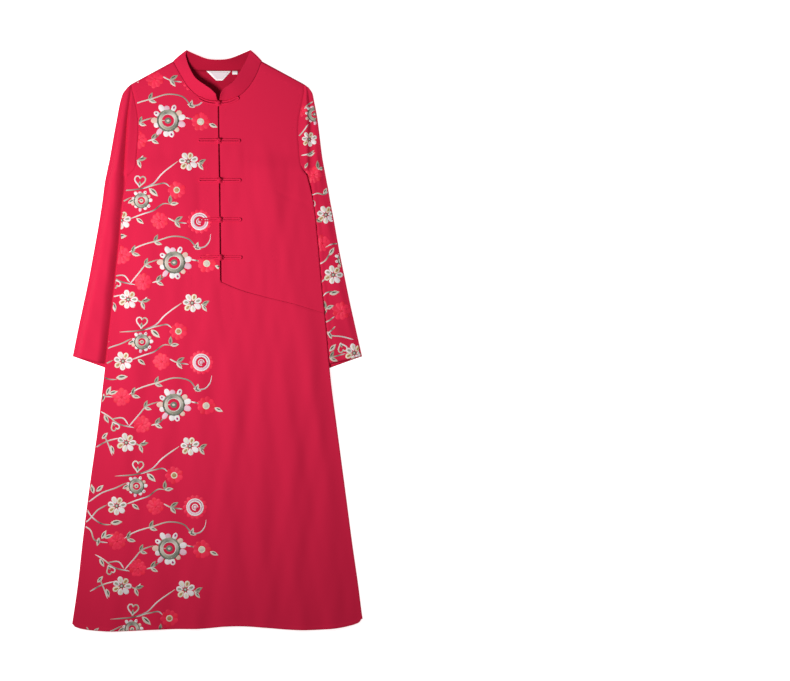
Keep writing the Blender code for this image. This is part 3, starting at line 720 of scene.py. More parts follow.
# %% The back
VENT_TOP_Y, VENT_GAP, BACK_HEM_RISE = -330 * MM, 3.4 * MM, 4 * MM
POCKET_LOW, POCKET_HIGH, POCKET_GAP = -20 * MM, 115 * MM, 2.0 * MM
BACK_DARTS = (
    table((106, 364), (97, 264), (90, 125), (92, 34)),
    table((-120, 373), (-116, 125), (-113, 34)),
)
DART_DEPTH, DART_WIDTH = 0.6 * MM, 4 * MM
BACK_STEP, SHOULDER_POINTS, ARMHOLE_POINTS = 7.5 * MM, 16, 30
NECK_LAP = 1.2 * MM  # how far the back reaches under the collar's seam


def back_seam(side, y):
    """Distance of the back's side edge, with the slit and the pocket's mouth left open."""
    slit = VENT_GAP * ease((VENT_TOP_Y - y) / (VENT_TOP_Y - HEM_CORNER_Y))
    inside = np.clip((y - POCKET_LOW) / (POCKET_HIGH - POCKET_LOW), 0, 1)
    mouth = POCKET_GAP * math.sin(math.pi * inside) if side == RIGHT else 0
    return float(panel_edge(side, y)) - float(side_wrap(y)) - SEAM - slit - mouth


def back_top():
    """The back's upper edge: shoulder, neckline, shoulder."""
    halves = []
    for side in (LEFT, RIGHT):
        tip, neck = np.array(armhole(side)[-1]), neck_edge(side, NECK_BACK)
        shoulder = [tip + t * (neck - tip) for t in np.linspace(0, 1, SHOULDER_POINTS)[:-1]]
        neck_marks = [neck_edge(side, row, -NECK_LAP) for row in range(NECK_BACK, len(COLLAR))]
        halves.append(shoulder + list(smooth_line(neck_marks, SHOULDER_POINTS)))
    return np.array(halves[0] + halves[1][-2::-1])


def make_back():
    top = back_top()
    shares = (top[:, 0] - top[0, 0]) / (top[-1, 0] - top[0, 0])
    rows = []
    for level in np.arange(HEM_CORNER_Y, UNDERARM_Y - BACK_STEP, BACK_STEP):
        x = -back_seam(LEFT, level) + shares * (back_seam(LEFT, level) + back_seam(RIGHT, level))
        t = (level - HEM_CORNER_Y) / (UNDERARM_Y - HEM_CORNER_Y)
        drop = (1 - t) ** 3 * (hem(x) - HEM_CORNER_Y + BACK_HEM_RISE)
        rows.append(np.stack([x, level + drop], axis=1))
    left, right = (smooth_line(armhole(side), ARMHOLE_POINTS) for side in (LEFT, RIGHT))
    left[0, 0], right[0, 0] = -back_seam(LEFT, UNDERARM_Y), back_seam(RIGHT, UNDERARM_Y)
    u = shares[:, None]
    low = left[0] + u * (right[0] - left[0])
    high = left[-1] + u * (right[-1] - left[-1])
    for k, (a, b) in enumerate(zip(left, right)):
        v = k / (len(left) - 1)
        rows.append((1 - v) * low + v * top + (1 - u) * a + u * b - (1 - v) * low - v * high)
    placed = []
    for row in rows:
        height = back_height(row[:, 0], row[:, 1])
        for dart in BACK_DARTS:
            away = distance_to(dart, row[:, 0], row[:, 1])
            height = height + DART_DEPTH * np.exp(-((away / DART_WIDTH) ** 2))
        placed.append(np.column_stack([row, height]))
    return grid_sheet("back_cloth", placed, CLOTH, crimson_linen, flat_grain=True)


back = make_back()
# The back's upper face gets the darker linen: painted shade inside the neck and the opening.
line_with_painted_shade(back, lambda face: face.normal.z)
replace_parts(back, "back")

# %% [markdown]
# ## The sleeves
#
# A sleeve laid flat is a tube pressed into two layers that join in a fold along each side. Every
# row goes over the top layer, round the outer fold, back underneath and, below the armhole, round
# an inner fold, which the body hides. Above that the tube is open to the body, so the faces that
# would close it there are cut away. At the cuff the under layer reaches a little further, and we
# look into the sleeve's mouth.

# %% Sleeve rows
SLEEVE_TOP = np.concatenate([np.linspace(0, 0.9, 38), (0.93, 0.96, 0.98, 1)])
SLEEVE_UNDER = np.linspace(1, 0, 9)
TUCKED = (1, 0.5)  # how far the lowest rows of the cap dip under the body
ARMHOLE_TUCK = 0.5 * MM  # how far the cap's edge reaches into the armhole seam
CUFF_REACH, CUFF_FADE, CUFF_LINE = 13 * MM, 120 * MM, 40 * MM
CUFF_GROOVE, GROOVE_WIDTH = 0.5 * MM, 2 * MM
SLEEVE_ROWS = 132
SLEEVE_SLACK = table((70, -150, 10, 0.7), (43, 95, 44, 0.45), (-58, 210, 21, 0.4))
# The crease where a sleeve's top layer dips, close to the body: y, left, right
CREASE = table(
    (310, 204.7, 206.7), (330, 203, 205), (360, 202, 203), (393, 201, 203), (414, 199.5, 203),
    (458, 197, 204), (480, 195.5, 204), (527, 189.5, 201), (550, 186, 198),
)
# Left and right sleeve: most air inside, floor of the crease, slope outside it, slope to the outer
# fold, slope of the cap's band inside the crease, lip at the armhole, roll beside the body's edge
SLEEVE_SHAPE = table((19, 0, 20, 21, 5, 1.4, 0), (5, 4, 14, 14, 10, 0.3, 4.2))
CAP_BAND, LIP_RUN = 5.5 * MM, 2.4 * MM
CAP_Y, CAP_RUN = 345 * MM, 25 * MM
ROLL_RISE, ROLL_END, ROLL_FALL = 2.4 * MM, 14 * MM, 11 * MM


def sleeve_air(x, y, from_fold):
    """The air inside a sleeve at a plan point."""
    crease = np.where(x < 0, *(read(CREASE, y, column) for column in (1, 2)))
    past = np.abs(x) - np.where(y > CREASE[0, 0], crease, panel_edge(x, y))
    full, floor, run, fold_run, band_run, _, roll = SLEEVE_SHAPE[0 if x[0] < 0 else 1]
    beside = np.sin(math.pi / 2 * np.clip((past - floor) / run, 0, 1))
    on_cap = ease((y - CAP_Y) / CAP_RUN)
    band = CAP_BAND * ease(-past / band_run) * on_cap
    rolled = ease(past / ROLL_RISE - 0.2) * ease((ROLL_END - past) / ROLL_FALL)
    band = band + roll * rolled * (1 - on_cap)
    slack = sum(rise * np.sin(2 * math.pi * (x / across + y / along) + start / MM)
                for across, along, start, rise in SLEEVE_SLACK)
    air = HIDDEN_GAP + band + (full + slack - HIDDEN_GAP) * beside
    return EDGE_GAP + (air - EDGE_GAP) * ease(from_fold / fold_run)


def sleeve_row(outer, inner, inner_height, hidden, cuff):
    """A sleeve's points over the top, round the outer fold, back below and round the inner fold."""
    span = np.linalg.norm(outer - inner)
    across = (outer - inner) / span
    down = np.array((across[1], -across[0])) * (1 if across[0] > 0 else -1)
    radius, inner_radius = (CLOTH + EDGE_GAP) / 2, (CLOTH + HIDDEN_GAP) / 2
    end = outer - radius * across
    start = inner + (inner_radius * across if hidden else 0)
    under = SLEEVE_FLOOR + CLOTH / 2
    plan = start + SLEEVE_TOP[:, None] * (end - start)
    from_fold = (1 - SLEEVE_TOP) * span
    base = under + CLOTH + sleeve_air(plan[:, 0], plan[:, 1], from_fold)
    base = base - CUFF_GROOVE * math.exp(-((cuff - CUFF_LINE) / GROOVE_WIDTH) ** 2)
    full_lip = SLEEVE_SHAPE[0 if outer[0] < 0 else 1, 5]
    lip = 0 if hidden else full_lip * ease(SLEEVE_TOP * span / LIP_RUN)
    height = inner_height + lip
    height = height + (base - height) * ease(2.2 * SLEEVE_TOP)
    row = [(*p, z) for p, z in zip(plan, height)]
    for turn in FOLD_TURNS[::-1]:
        row.append((*(end + radius * math.sin(turn) * across), under + radius * (1 - math.cos(turn))))
    for share in SLEEVE_UNDER:
        reach = CUFF_REACH * (1 - share) * ease(5 * share) * ease(1 - cuff / CUFF_FADE)
        row.append((*(start + share * (end - start) + reach * down), under))
    for turn in FOLD_TURNS:
        fold = start - inner_radius * math.sin(turn) * across
        row.append((*fold, under + inner_radius * (1 - math.cos(turn))))
    return row + [row[0]]


def make_sleeve(name, side):
    column = of_side(side)
    hidden_height = SLEEVE_FLOOR + 1.5 * CLOTH + HIDDEN_GAP
    tuck = np.array((side * ARMHOLE_TUCK, 0))
    marks = []
    for k in range(len(ARMHOLES) - 1, 0, -1):
        y = SLEEVE_CAP_OUTER_Y[k - 1]
        seam = np.array(armhole(side)[k]) - tuck
        level = float(front_height(*armhole(side)[k]))
        level += (TUCKED[k - 1] if k <= len(TUCKED) else 0) * (hidden_height - level)
        marks.append((side * read(SLEEVE_OUTER, y, column), y, *seam, level, 0))
    for outer_y, inner_y in SLEEVE_LOW_ROWS:
        outer_x, inner_x = (side * read(rows, y, column) for rows, y in
                            ((SLEEVE_OUTER, outer_y), (SLEEVE_INNER, inner_y)))
        marks.append((outer_x, outer_y, inner_x, inner_y, hidden_height, 1 * MM))
    marks = smooth_line(marks, SLEEVE_ROWS)
    cap_rows = int(np.sum(marks[:, 3] > SLEEVE_LOW_ROWS[0, 1] + 1 * MM))
    cuff_y = marks[-1, 1]
    rows = [sleeve_row(m[:2], m[2:4], m[4], i >= cap_rows, m[1] - cuff_y)
            for i, m in enumerate(marks)]
    fold_start = len(SLEEVE_TOP) + len(FOLD_TURNS) + len(SLEEVE_UNDER) - 1
    piece = grid_sheet(name, rows, CLOTH, crimson_linen,
                       lambda i, j: i < cap_rows and j > fold_start, close=True)
    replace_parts(piece, name.replace("_cloth", ""))
    return piece


sleeves = {side: make_sleeve(name, side)
           for side, name in ((LEFT, "sleeve_plain_cloth"), (RIGHT, "sleeve_embroidered_cloth"))}

# %% [markdown]
# ## The stand collar
#
# The collar is a stiffened band, folded over at its top edge. Along its slant it is 27 mm high at
# most places, less at the front opening and more at the shoulders. Seen from above its
# front half leans back over the neck, its outer face to the light, and behind it the inner face of
# the back half lies in shade. It is a ruled band between its seam and its top edge, swollen a little
# in the middle, with a bevel on the wall's rim for the folded edge.

# %% The collar
COLLAR_SWELL, COLLAR_ROWS, COLLAR_POINTS = 0.9 * MM, 181, 11
NECK_MIDDLE = (2.5 * MM, 570 * MM)
LAP_HEIGHT = CLOTH + COLLAR_WALL / 2 + 0.1 * MM  # its seam lies on the back


def make_collar():
    stations = [(LEFT, row) for row in range(len(COLLAR))]
    stations += [(RIGHT, row) for row in range(len(COLLAR) - 2, -1, -1)]
    ends = [np.concatenate([collar_point(*s, False), collar_point(*s, True)]) for s in stations]
    rows = []
    for mark in smooth_line(ends, COLLAR_ROWS):
        seam, top = mark[:3], mark[3:]
        line = []
        for t in np.linspace(0, 1, COLLAR_POINTS):
            point = seam + t * (top - seam)
            outward = point[:2] - np.array(NECK_MIDDLE)
            outward = outward / np.linalg.norm(outward)
            swell = COLLAR_SWELL * math.sin(math.pi * t)
            line.append((*(point[:2] + swell * outward), max(point[2], LAP_HEIGHT) + 0.5 * swell))
        rows.append(line)
    piece = grid_sheet("collar_cloth", rows, COLLAR_WALL, crimson_linen)
    rim = piece.modifiers.new("folded edge", "BEVEL")
    rim.width, rim.segments = 0.55 * MM, 3
    rim.limit_method, rim.angle_limit = "ANGLE", math.radians(60)
    return piece


def faces_neck(face):
    """Positive where a face of the collar looks towards the middle of the neck."""
    return face.normal.to_2d() @ (Vector(NECK_MIDDLE) - face.center.to_2d())


collar = make_collar()
# The collar's inner face gets the darker linen: painted shade inside the neck.
line_with_painted_shade(collar, faces_neck)
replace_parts(collar, "collar")

# %% [markdown]
# ## Where the front's surface is
#
# Cords, labels and embroidery lie on cloth that is nowhere quite flat. Rather than work out each
# height again, we drop a ray from above on the finished sheets. A BVH tree makes that quick, and a
# ray that meets nothing tells us that the point lies outside the piece.

# %% Rays onto the cloth
from mathutils.bvhtree import BVHTree


def tree_of(*pieces):
    """A search tree through the sheets of several pieces."""
    points, faces = [], []
    for piece in pieces:
        start = len(points)
        points += [v.co.copy() for v in piece.data.vertices]
        faces += [[start + i for i in p.vertices] for p in piece.data.polygons]
    return BVHTree.FromPolygons(points, faces)


front_tree = tree_of(front, upper_front)
sleeve_tree = tree_of(sleeves[RIGHT])


def top_at(tree, x, y):
    """The height of the upper face of the cloth at a plan point, or None outside it."""
    hit = tree.ray_cast(Vector((x, y, 1)), Vector((0, 0, -1)))[0]
    return None if hit is None else hit.z + CLOTH / 2


print("front's top face at its middle, mm:", round(top_at(front_tree, 60 * MM, 0) / MM, 1))

# %% [markdown]
# ## Bias cord for the fastenings
#
# A frog is a bias strip of the dress cloth sewn into a round cord. On the bias the yarns cross the
# cord at 45 degrees, so it looks twisted. Rubbing and turning close the fibres up, and the cord
# ends a shade deeper than the cloth. The bands are drawn along the cord's own UV map, so they follow
# every bend of it.

# %% The cord's finish


def bias_cord(name, light, dark):
    """A bias-cut linen cord."""
    made, tree, shader = new_material(name, Roughness=0.8, IOR=1.47, Specular_IOR_Level=0.2)
    at = node(tree, "ShaderNodeUVMap", uv_map=GRAIN).outputs["UV"]
    turned = node(tree, "ShaderNodeMapping", [("Vector", at)], Rotation=(0, 0, math.radians(45)))
    yarn = node(tree, "ShaderNodeTexWave", [("Vector", turned.outputs["Vector"])], bands_direction="X",
                Scale=bands(1.1), Distortion=0.8, Detail=1.0)
    fuzz = node(tree, "ShaderNodeTexNoise", [("Vector", at)], Scale=1 / (2.5 * MM), Detail=2.0)
    mixed = node(tree, "ShaderNodeMath", [(0, yarn.outputs["Fac"]), (1, fuzz.outputs["Fac"])])
    dye = node(tree, "ShaderNodeMix", [("Factor", mixed.outputs[0])], data_type="RGBA")
    dye.inputs["A"].default_value, dye.inputs["B"].default_value = colour(dark), colour(light)
    tree.links.new(dye.outputs["Result"], shader.inputs["Base Color"])
    bump = node(tree, "ShaderNodeBump", [("Height", yarn.outputs["Fac"])],
                Strength=0.7, Distance=0.3 * MM)
    tree.links.new(bump.outputs["Normal"], shader.inputs["Normal"])
    return made


crimson_cord = bias_cord("crimson_bias_cord", "#EA2450", "#B81038")

# %% [markdown]
# ## The frog fastenings
#
# Each frog is two doubled cords. The loop half, on the wearer's left, opens into a small ring, and
# the knot half ends in a ball knotted from the same cord, which is buttoned through the ring. A
# round cord is a tube: a lattice whose columns run once round a circle while its rows follow the
# cord's line. For the ball, three rings of cord cross over a small core, as its strands do.

# %% Tubes of cord
CORD_RADIUS, STRAND, FROG_REACH = 1.8 * MM, 2.4 * MM, 45 * MM
FROG_LEVELS = (434 * MM, 348 * MM, 262.5 * MM, 180.5 * MM)
COLLAR_FROG_DROP, RING_RADIUS = 4.4 * MM, 4.9 * MM
BALL_RISE, BALL_RADIUS, BALL_CORD = 5.0 * MM, 3.5 * MM, 1.6 * MM
ROUND = 10


def lay_tube(work, line, radius, closed=False):
    """Adds a tube along a line of points in space. A closed one joins its ends."""
    line = np.array(line, float)
    if closed:
        line = np.concatenate([line, line[:1]])
    ahead = np.gradient(line, axis=0)
    if closed:
        ahead[0] = ahead[-1] = ahead[0] + ahead[-1]
    ahead /= np.linalg.norm(ahead, axis=1)[:, None]
    up = np.array((0.12, 0.07, 1.0))
    beside = np.cross(ahead, up)
    beside /= np.linalg.norm(beside, axis=1)[:, None]
    above = np.cross(beside, ahead)
    turns = np.linspace(0, 2 * math.pi, ROUND + 1)
    circles = [line + radius * (math.cos(a) * beside + math.sin(a) * above) for a in turns]
    along = np.concatenate([[0], np.cumsum(np.linalg.norm(np.diff(line, axis=0), axis=1))])
    uv = np.stack(
        [np.tile(turns * radius, (len(line), 1)), np.tile(along[:, None], (1, ROUND + 1))], axis=2
    )
    return lay_grid(work, np.stack(circles, axis=1), uv)


def finish_mesh(work, name):
    """Closes the seams of a work mesh, turns its faces outwards and returns it smooth."""
    bmesh.ops.remove_doubles(work, verts=work.verts, dist=TOUCHING)
    bmesh.ops.recalc_face_normals(work, faces=work.faces)
    mesh = bpy.data.meshes.new(name)
    work.to_mesh(mesh)
    work.free()
    mesh.shade_smooth()
    return mesh


# %% Frog lines on the front
FROG_POINTS = 41
STRAP_START = 11 * MM


def frog_path(level):
    """The line in plan that a frog follows, from its left end to its right end."""
    if level is None:
        halves = [[neck_edge(side, row, COLLAR_FROG_DROP) for row in (2, 1, 0)]
                  for side in (LEFT, RIGHT)]
        meeting = (halves[0][-1] + halves[1][-1]) / 2
        return smooth_line(halves[0][:-1] + [meeting] + halves[1][-2::-1], FROG_POINTS)
    ends = [(float(middle(level)) + side * (FROG_REACH + MM), level) for side in (LEFT, RIGHT)]
    return smooth_line(ends, FROG_POINTS)


def on_front(path, side, points):
    """Cord points (distance, beside, rise) of a frog as points that lie on the front."""
    steps = np.linalg.norm(np.diff(path, axis=0), axis=1)
    lengths = np.concatenate([[0], np.cumsum(steps)])
    placed = []
    for distance, beside, rise in points:
        at = lengths[-1] / 2 + side * distance
        here, ahead = (np.array([np.interp(s, lengths, path[:, i]) for i in (0, 1)])
                       for s in (at - MM, at + MM))
        along = (ahead - here) / np.linalg.norm(ahead - here)
        centre = (here + ahead) / 2
        x, y = centre + beside * np.array((-along[1], along[0]))
        reach = centre[1] if side * distance == 0 else y
        heights = [top_at(front_tree, x + dx, reach - dy)
                   for dx in (-3 * MM, 0, 3 * MM) for dy in (0, 5 * MM)]
        top = max(h for h in heights if h is not None)
        placed.append((x, y, top + CORD_RADIUS + rise))
    return placed


STRAP_END = [((FROG_REACH - STRAND) + STRAND * math.cos(a), STRAND * math.sin(a), 0)
             for a in np.radians(np.linspace(90, -90, 9))]


def straight(start, end, beside, count=9):
    """Evenly spaced points of one strand."""
    return [(s, beside, 0) for s in np.linspace(start, end, count)]


def make_frog(number, level):
    path = frog_path(level)
    strap = straight(STRAP_START, FROG_REACH - 2 * STRAND, STRAND)[:-1] + STRAP_END
    strap += straight(FROG_REACH - 2 * STRAND, STRAP_START, -STRAND)[1:]
    ring = [(RING_RADIUS * math.cos(a), -RING_RADIUS * math.sin(a), 0)
            for a in np.radians(np.linspace(34, 326, 19))]
    neck = [(9 * MM, STRAND, 0), (7 * MM, 2.2 * MM, 0)]
    loop_line = strap + [(s, -t, h) for s, t, h in neck] + ring[::-1] + neck[::-1]
    climb = [(1.2 * MM, 1.2 * MM, 4.4 * MM), (3.6 * MM, 1.8 * MM, 4.4 * MM),
             (6.0 * MM, STRAND, 3.6 * MM), (8.6 * MM, STRAND, 1.6 * MM), (10.2 * MM, STRAND, 0.3 * MM)]
    knot_line = climb + strap + [(s, -t, h) for s, t, h in climb[::-1]]
    loop_work, knot_work = bmesh.new(), bmesh.new()
    lay_tube(loop_work, on_front(path, RIGHT, loop_line), CORD_RADIUS, closed=True)
    lay_tube(knot_work, on_front(path, LEFT, knot_line), CORD_RADIUS)
    centre = Vector(on_front(path, LEFT, [(0, 0, BALL_RISE)])[0])
    bmesh.ops.create_icosphere(
        knot_work, subdivisions=3, radius=BALL_RADIUS, matrix=Matrix.Translation(centre)
    )
    for turn in (20, 80, 140):
        tilt = Matrix.Rotation(math.radians(turn), 3, "Z") @ Matrix.Rotation(math.radians(58), 3, "X")
        circle = [centre + tilt @ Vector((math.cos(a), math.sin(a), 0)) * BALL_RADIUS
                  for a in np.radians(np.arange(0, 360, 20))]
        lay_tube(knot_work, circle, BALL_CORD, closed=True)
    for half, work in (("loop", loop_work), ("knot", knot_work)):
        name = f"frog_{number}_{half}"
        mesh = finish_mesh(work, name + "_cord")
        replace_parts(add_piece(name + "_cord", mesh, crimson_cord), name)


for number, level in enumerate((None, *FROG_LEVELS), 1):
    make_frog(number, level)
print("frogs:", number)

# %% [markdown]
# ## The label and the size tag
#
# Inside the back neck a woven label and a narrow folded tag are sewn. Both are satin ribbon: fine
# polyester, floated over the weave, so it is smoother than the linen and catches the light in a
# soft streak. The label is a trapezium with a white border around a paler field. Both stay bare.

# %% Satin ribbon


def satin_ribbon(name, code):
    """Woven polyester satin: white, fine and softly bright."""
    made, tree, shader = new_material(
        name, Roughness=0.42, IOR=1.5, Specular_IOR_Level=0.5, Sheen_Weight=0.2
    )
    at = node(tree, "ShaderNodeUVMap", uv_map=GRAIN).outputs["UV"]
    floats = node(tree, "ShaderNodeTexWave", [("Vector", at)], bands_direction="Y",
                  Scale=bands(0.5), Distortion=0.5)
    cloud = node(tree, "ShaderNodeTexNoise", [("Vector", at)], Scale=1 / (3 * MM), Detail=2.0)
    tone = node(tree, "ShaderNodeMix", [("Factor", cloud.outputs["Fac"])], data_type="RGBA")
    tone.inputs["A"].default_value = [c * 0.86 for c in colour(code)[:3]] + [1.0]
    tone.inputs["B"].default_value = colour(code)
    tree.links.new(tone.outputs["Result"], shader.inputs["Base Color"])
    bump = node(tree, "ShaderNodeBump", [("Height", floats.outputs["Fac"])],
                Strength=0.4, Distance=0.1 * MM)
    tree.links.new(bump.outputs["Normal"], shader.inputs["Normal"])
    return made


LABEL_Z, TAG_FOLD = 2.1 * MM, 0.3 * MM
white_satin = satin_ribbon("white_satin_ribbon", "#FBF7F8")
blush_satin = satin_ribbon("blush_satin_ribbon", "#EADAE0")


def trapezium(top_left, top_right, low_right, low_left, height, count=13):
    """Rows of points between two slanting ends, with a slight curl towards the lower edge."""
    rows = []
    for t in np.linspace(0, 1, count):
        left = np.array(low_left) + t * (np.array(top_left) - low_left)
        right = np.array(low_right) + t * (np.array(top_right) - low_right)
        curl = 0.8 * MM * (1 - t) ** 2
        rows.append([(*(left + u * (right - left)), height + curl) for u in np.linspace(0, 1, count)])
    return rows


label_rows = trapezium(*table((-23.9, 586), (30.2, 586), (11.3, 565.2), (-2.4, 565.2)), LABEL_Z)
field_rows = trapezium(*table((-18.5, 583.8), (24.8, 583.8), (10.2, 567.4), (-1.3, 567.4)),
                       LABEL_Z + 0.45 * MM)
label = grid_sheet("neck_label_ribbon", label_rows, 0.5 * MM, white_satin)
field = grid_sheet("neck_label_field", field_rows, 0.2 * MM, blush_satin)
tag_line = [(578.9 * MM - TAG_FOLD * math.cos(turn), LABEL_Z + TAG_FOLD * math.sin(turn))
            for turn in np.radians(np.linspace(-90, 90, 7))]
tag_line = [(586 * MM, tag_line[0][1])] + tag_line + [(586 * MM, tag_line[-1][1])]
tag_rows = [[(x * MM, y, z) for x in np.linspace(32.6, 44.0, 9)] for y, z in tag_line]
tag = grid_sheet("size_tag_ribbon", tag_rows, 0.3 * MM, white_satin)
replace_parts(label, "neck_label")
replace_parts(tag, "size_tag")

# %% [markdown]
# ## Rayon embroidery thread
#
# Machine embroidery uses bright rayon, laid in satin stitches: parallel threads that cover a shape.
# The threads throw a soft streak of light across their length, which shows as fine ribs. One
# material serves every colour. The colour itself is an attribute on the mesh, as if the thread were
# changed, and the ribs run on the piece's own UV map, so they turn with each petal. A real thread is
# 0.4 mm wide, and the ribs are drawn at 0.9 mm so that a few of them show on each petal.

# %% The thread's finish


def rayon_thread(name):
    """Rayon embroidery thread in satin stitches."""
    made, tree, shader = new_material(name, Roughness=0.5, IOR=1.5, Specular_IOR_Level=0.2)
    at = node(tree, "ShaderNodeUVMap", uv_map=GRAIN).outputs["UV"]
    ribs = node(tree, "ShaderNodeTexWave", [("Vector", at)], bands_direction="Y", Scale=bands(0.9),
                Distortion=0.6, Detail=1.0)
    tone = node(tree, "ShaderNodeVertexColor", layer_name="thread")
    # The ribs scale the thread's colour between 0.78 and 1.04: painted shade between the threads and
    # painted highlight along them.
    shade = node(tree, "ShaderNodeMapRange", [("Value", ribs.outputs["Fac"])], To_Min=0.78, To_Max=1.04)
    spread = node(tree, "ShaderNodeVectorMath", [(0, tone.outputs["Color"])], operation="SCALE")
    tree.links.new(shade.outputs["Result"], spread.inputs["Scale"])
    tree.links.new(spread.outputs["Vector"], shader.inputs["Base Color"])
    bump = node(tree, "ShaderNodeBump", [("Height", ribs.outputs["Fac"])],
                Strength=0.6, Distance=0.25 * MM)
    tree.links.new(bump.outputs["Normal"], shader.inputs["Normal"])
    return made


rayon = rayon_thread("rayon_embroidery_thread")
THREADS = {
    "olive": "#5A5C4E", "grey": "#7C7F72", "sage": "#A9A692", "pale": "#E0D6C8", "white": "#F8F0F0",
    "cream": "#EEE4CC", "tan": "#C09460", "pink": "#F0C4D4", "blush": "#F0CCBC", "coral": "#FF2A52",
    "deep": "#F82446", "magenta": "#B22C72", "red": "#C01238",
}

# %% [markdown]
# ## One stitch shape for everything
#
# A petal, a leaf, a stem and a ring are all the same thing to an embroidery machine: a strip of
# satin stitches of changing width along a line. So one function lays a strip, domed across like
# padded thread, with its edges sunk a hair into the cloth. Everything is drawn flat first and sewn
# on afterwards, when each point is lifted onto the cloth below it.

# %% A strip of satin stitches
random_tone = np.random.default_rng(7)
SUNK = 0.12 * MM


def satin(work, line, widths, rise, tones, level=0.0, lengthwise=False, across=4):
    """Adds a strip of stitches along a plan line. Its colour runs through the tones from end to end."""
    line = np.array(line, float)
    widths = np.broadcast_to(widths, len(line))
    ahead = np.gradient(line, axis=0)
    ahead /= np.linalg.norm(ahead, axis=1)[:, None]
    beside = np.stack([ahead[:, 1], -ahead[:, 0]], axis=1)
    v = np.linspace(-1, 1, across + 1)
    plan = line[:, None] + (widths / 2)[:, None, None] * v[None, :, None] * beside[:, None]
    full = np.minimum(1, widths / (2.5 * MM))
    dome = np.sqrt(np.maximum(1 - v ** 2, 0))
    height = level - SUNK + (rise + SUNK) * full[:, None] * dome[None]
    along = np.concatenate([[0], np.cumsum(np.linalg.norm(np.diff(line, axis=0), axis=1))])
    u = np.tile(along[:, None], (1, across + 1))
    w = (widths / 2)[:, None] * v[None]
    uv = np.stack([u, w] if lengthwise else [w, u], axis=2) + random_tone.uniform(0, 0.1)
    dyes = np.array([colour(THREADS[tone]) for tone in np.atleast_1d(tones)])
    share = np.linspace(0, len(dyes) - 1, len(line))
    tint = np.stack([np.interp(share, range(len(dyes)), dyes[:, i]) for i in range(4)], axis=1)
    tint[:, :3] *= random_tone.uniform(0.9, 1.05)
    lay_grid(work, np.concatenate([plan, height[..., None]], axis=2), uv, tint)


def new_work():
    work = bmesh.new()
    work.loops.layers.uv.verify()
    work.loops.layers.float_color.new("thread")
    return work


def sew_on(work, tree, name, keep=None):
    """Lifts flat embroidery onto the cloth, cuts off what misses it and makes it a piece."""
    lost = set()
    for vert in work.verts:
        top = top_at(tree, vert.co.x, vert.co.y)
        if top is None or (keep and not keep(vert.co.x, vert.co.y)):
            lost.add(vert)
        else:
            vert.co.z += top
    cut = [face for face in work.faces if lost.intersection(face.verts)]
    bmesh.ops.delete(work, geom=cut, context="FACES")
    bmesh.ops.delete(work, geom=[v for v in work.verts if not v.link_faces], context="VERTS")
    mesh = bpy.data.meshes.new(name)
    work.to_mesh(mesh)
    work.free()
    mesh.shade_smooth()
    print(f"{name}: {len(mesh.polygons)} faces of stitching")
    return add_piece(name, mesh, rayon)


# %% [markdown]
# ## Motifs
#
# The border is a chain stitch of common garden shapes: round-petalled flowers, ringed flowers,
# paired leaves, little hearts and curling stems. Each is a short recipe of strips around its middle,
# with sizes as shares of its radius, so that one function draws it at any size and turn.

# %% Petals, rings and flowers
ALONG = (1 - np.cos(np.linspace(0, math.pi, 9))) / 2  # closer together at both ends, which rounds them
THIN, FLAT = 0.05 * MM, 0.4 * MM


def polar(at, radius, angle):
    """The plan point at a distance and an angle (degrees) from another."""
    a = math.radians(angle)
    return np.array(at) + radius * np.array((math.cos(a), math.sin(a)))


def petal(work, at, angle, near, far, width, tone, rise=0.7 * MM, level=0.0, inner=None):
    """A rounded petal from near to far along an angle, with a smaller inner one if asked."""
    line = [polar(at, near + t * (far - near), angle) for t in ALONG]
    widths = THIN + width * np.sin(math.pi * ALONG ** 1.35) ** 0.5
    satin(work, line, widths, rise, tone, level=level, lengthwise=True)
    if inner:
        mid, reach = (near + far) / 2, (far - near) * 0.3
        petal(work, at, angle, mid - reach, mid + reach, width * 0.45, inner,
              0.35 * MM, level + rise * 0.9)


def ring(work, at, radius, width, tones, rise=0.7 * MM, level=0.0, sweep=360, first=0):
    """A ring of stitches, or a part of one."""
    count = max(9, round(abs(sweep) / 12))
    line = [polar(at, radius, first + sweep * t) for t in np.linspace(0, 1, count)]
    satin(work, line, width, rise, tones, level)


def eye(work, at, radius, tone, level=0.0, rise=0.8 * MM):
    """A filled round centre."""
    t = 2 * ALONG - 1
    line = [np.array(at) + (s * radius, 0) for s in t]
    satin(work, line, THIN + 2 * radius * np.sqrt(1 - t ** 2), rise, tone, level=level)


WREATH = ("white", "blush", "hollow", "pink", "white", "hollow", "blush", "white", "pink", "white",
          "hollow", "blush", "pink")


def ringed_flower(work, at, size, turn):
    """A flower with a broad thread ring inside a wreath of petals, some of them hollow."""
    count, band = (13, 0.63) if size > 14 * SQUARE else (11, 0.7)
    for k in range(count):
        tone, angle = WREATH[k], turn + 360 * k / count + (3, -3, 0)[k % 3]
        far, wide = (1.02, 0.93, 0.98, 0.86)[k % 4] * size, (0.37, 0.34, 0.3)[k % 3] * size
        petal(work, at, angle, (band - 0.16) * size, far, wide, "white" if tone == "hollow" else tone)
        if tone == "hollow":
            petal(work, at, angle, (band + 0.09) * size, 0.91 * far, 0.45 * wide, "magenta",
                  0.25 * MM, 0.6 * MM)
    for radius, width, tones in (
        (band - 0.05, 0.13, ("olive", "grey", "olive", "sage", "olive")),
        ((band + 0.28) / 2, band - 0.4, ("pale", "sage", "grey", "pale", "grey", "pale")),
        (0.375, 0.05, ("pale", "white", "pale")),
    ):
        ring(work, at, radius * size, width * size, tones, level=0.3 * MM, first=turn + 170)
    satin(work, [polar(at, r * size, 178) for r in (0.38, 0.3, 0.2)], 0.05 * size, 0.5 * MM, "pale")
    eye(work, at, 0.19 * size, "grey" if turn else "pale")
    eye(work, at, 0.09 * size, "pale" if turn else "grey", level=0.6 * MM, rise=0.4 * MM)


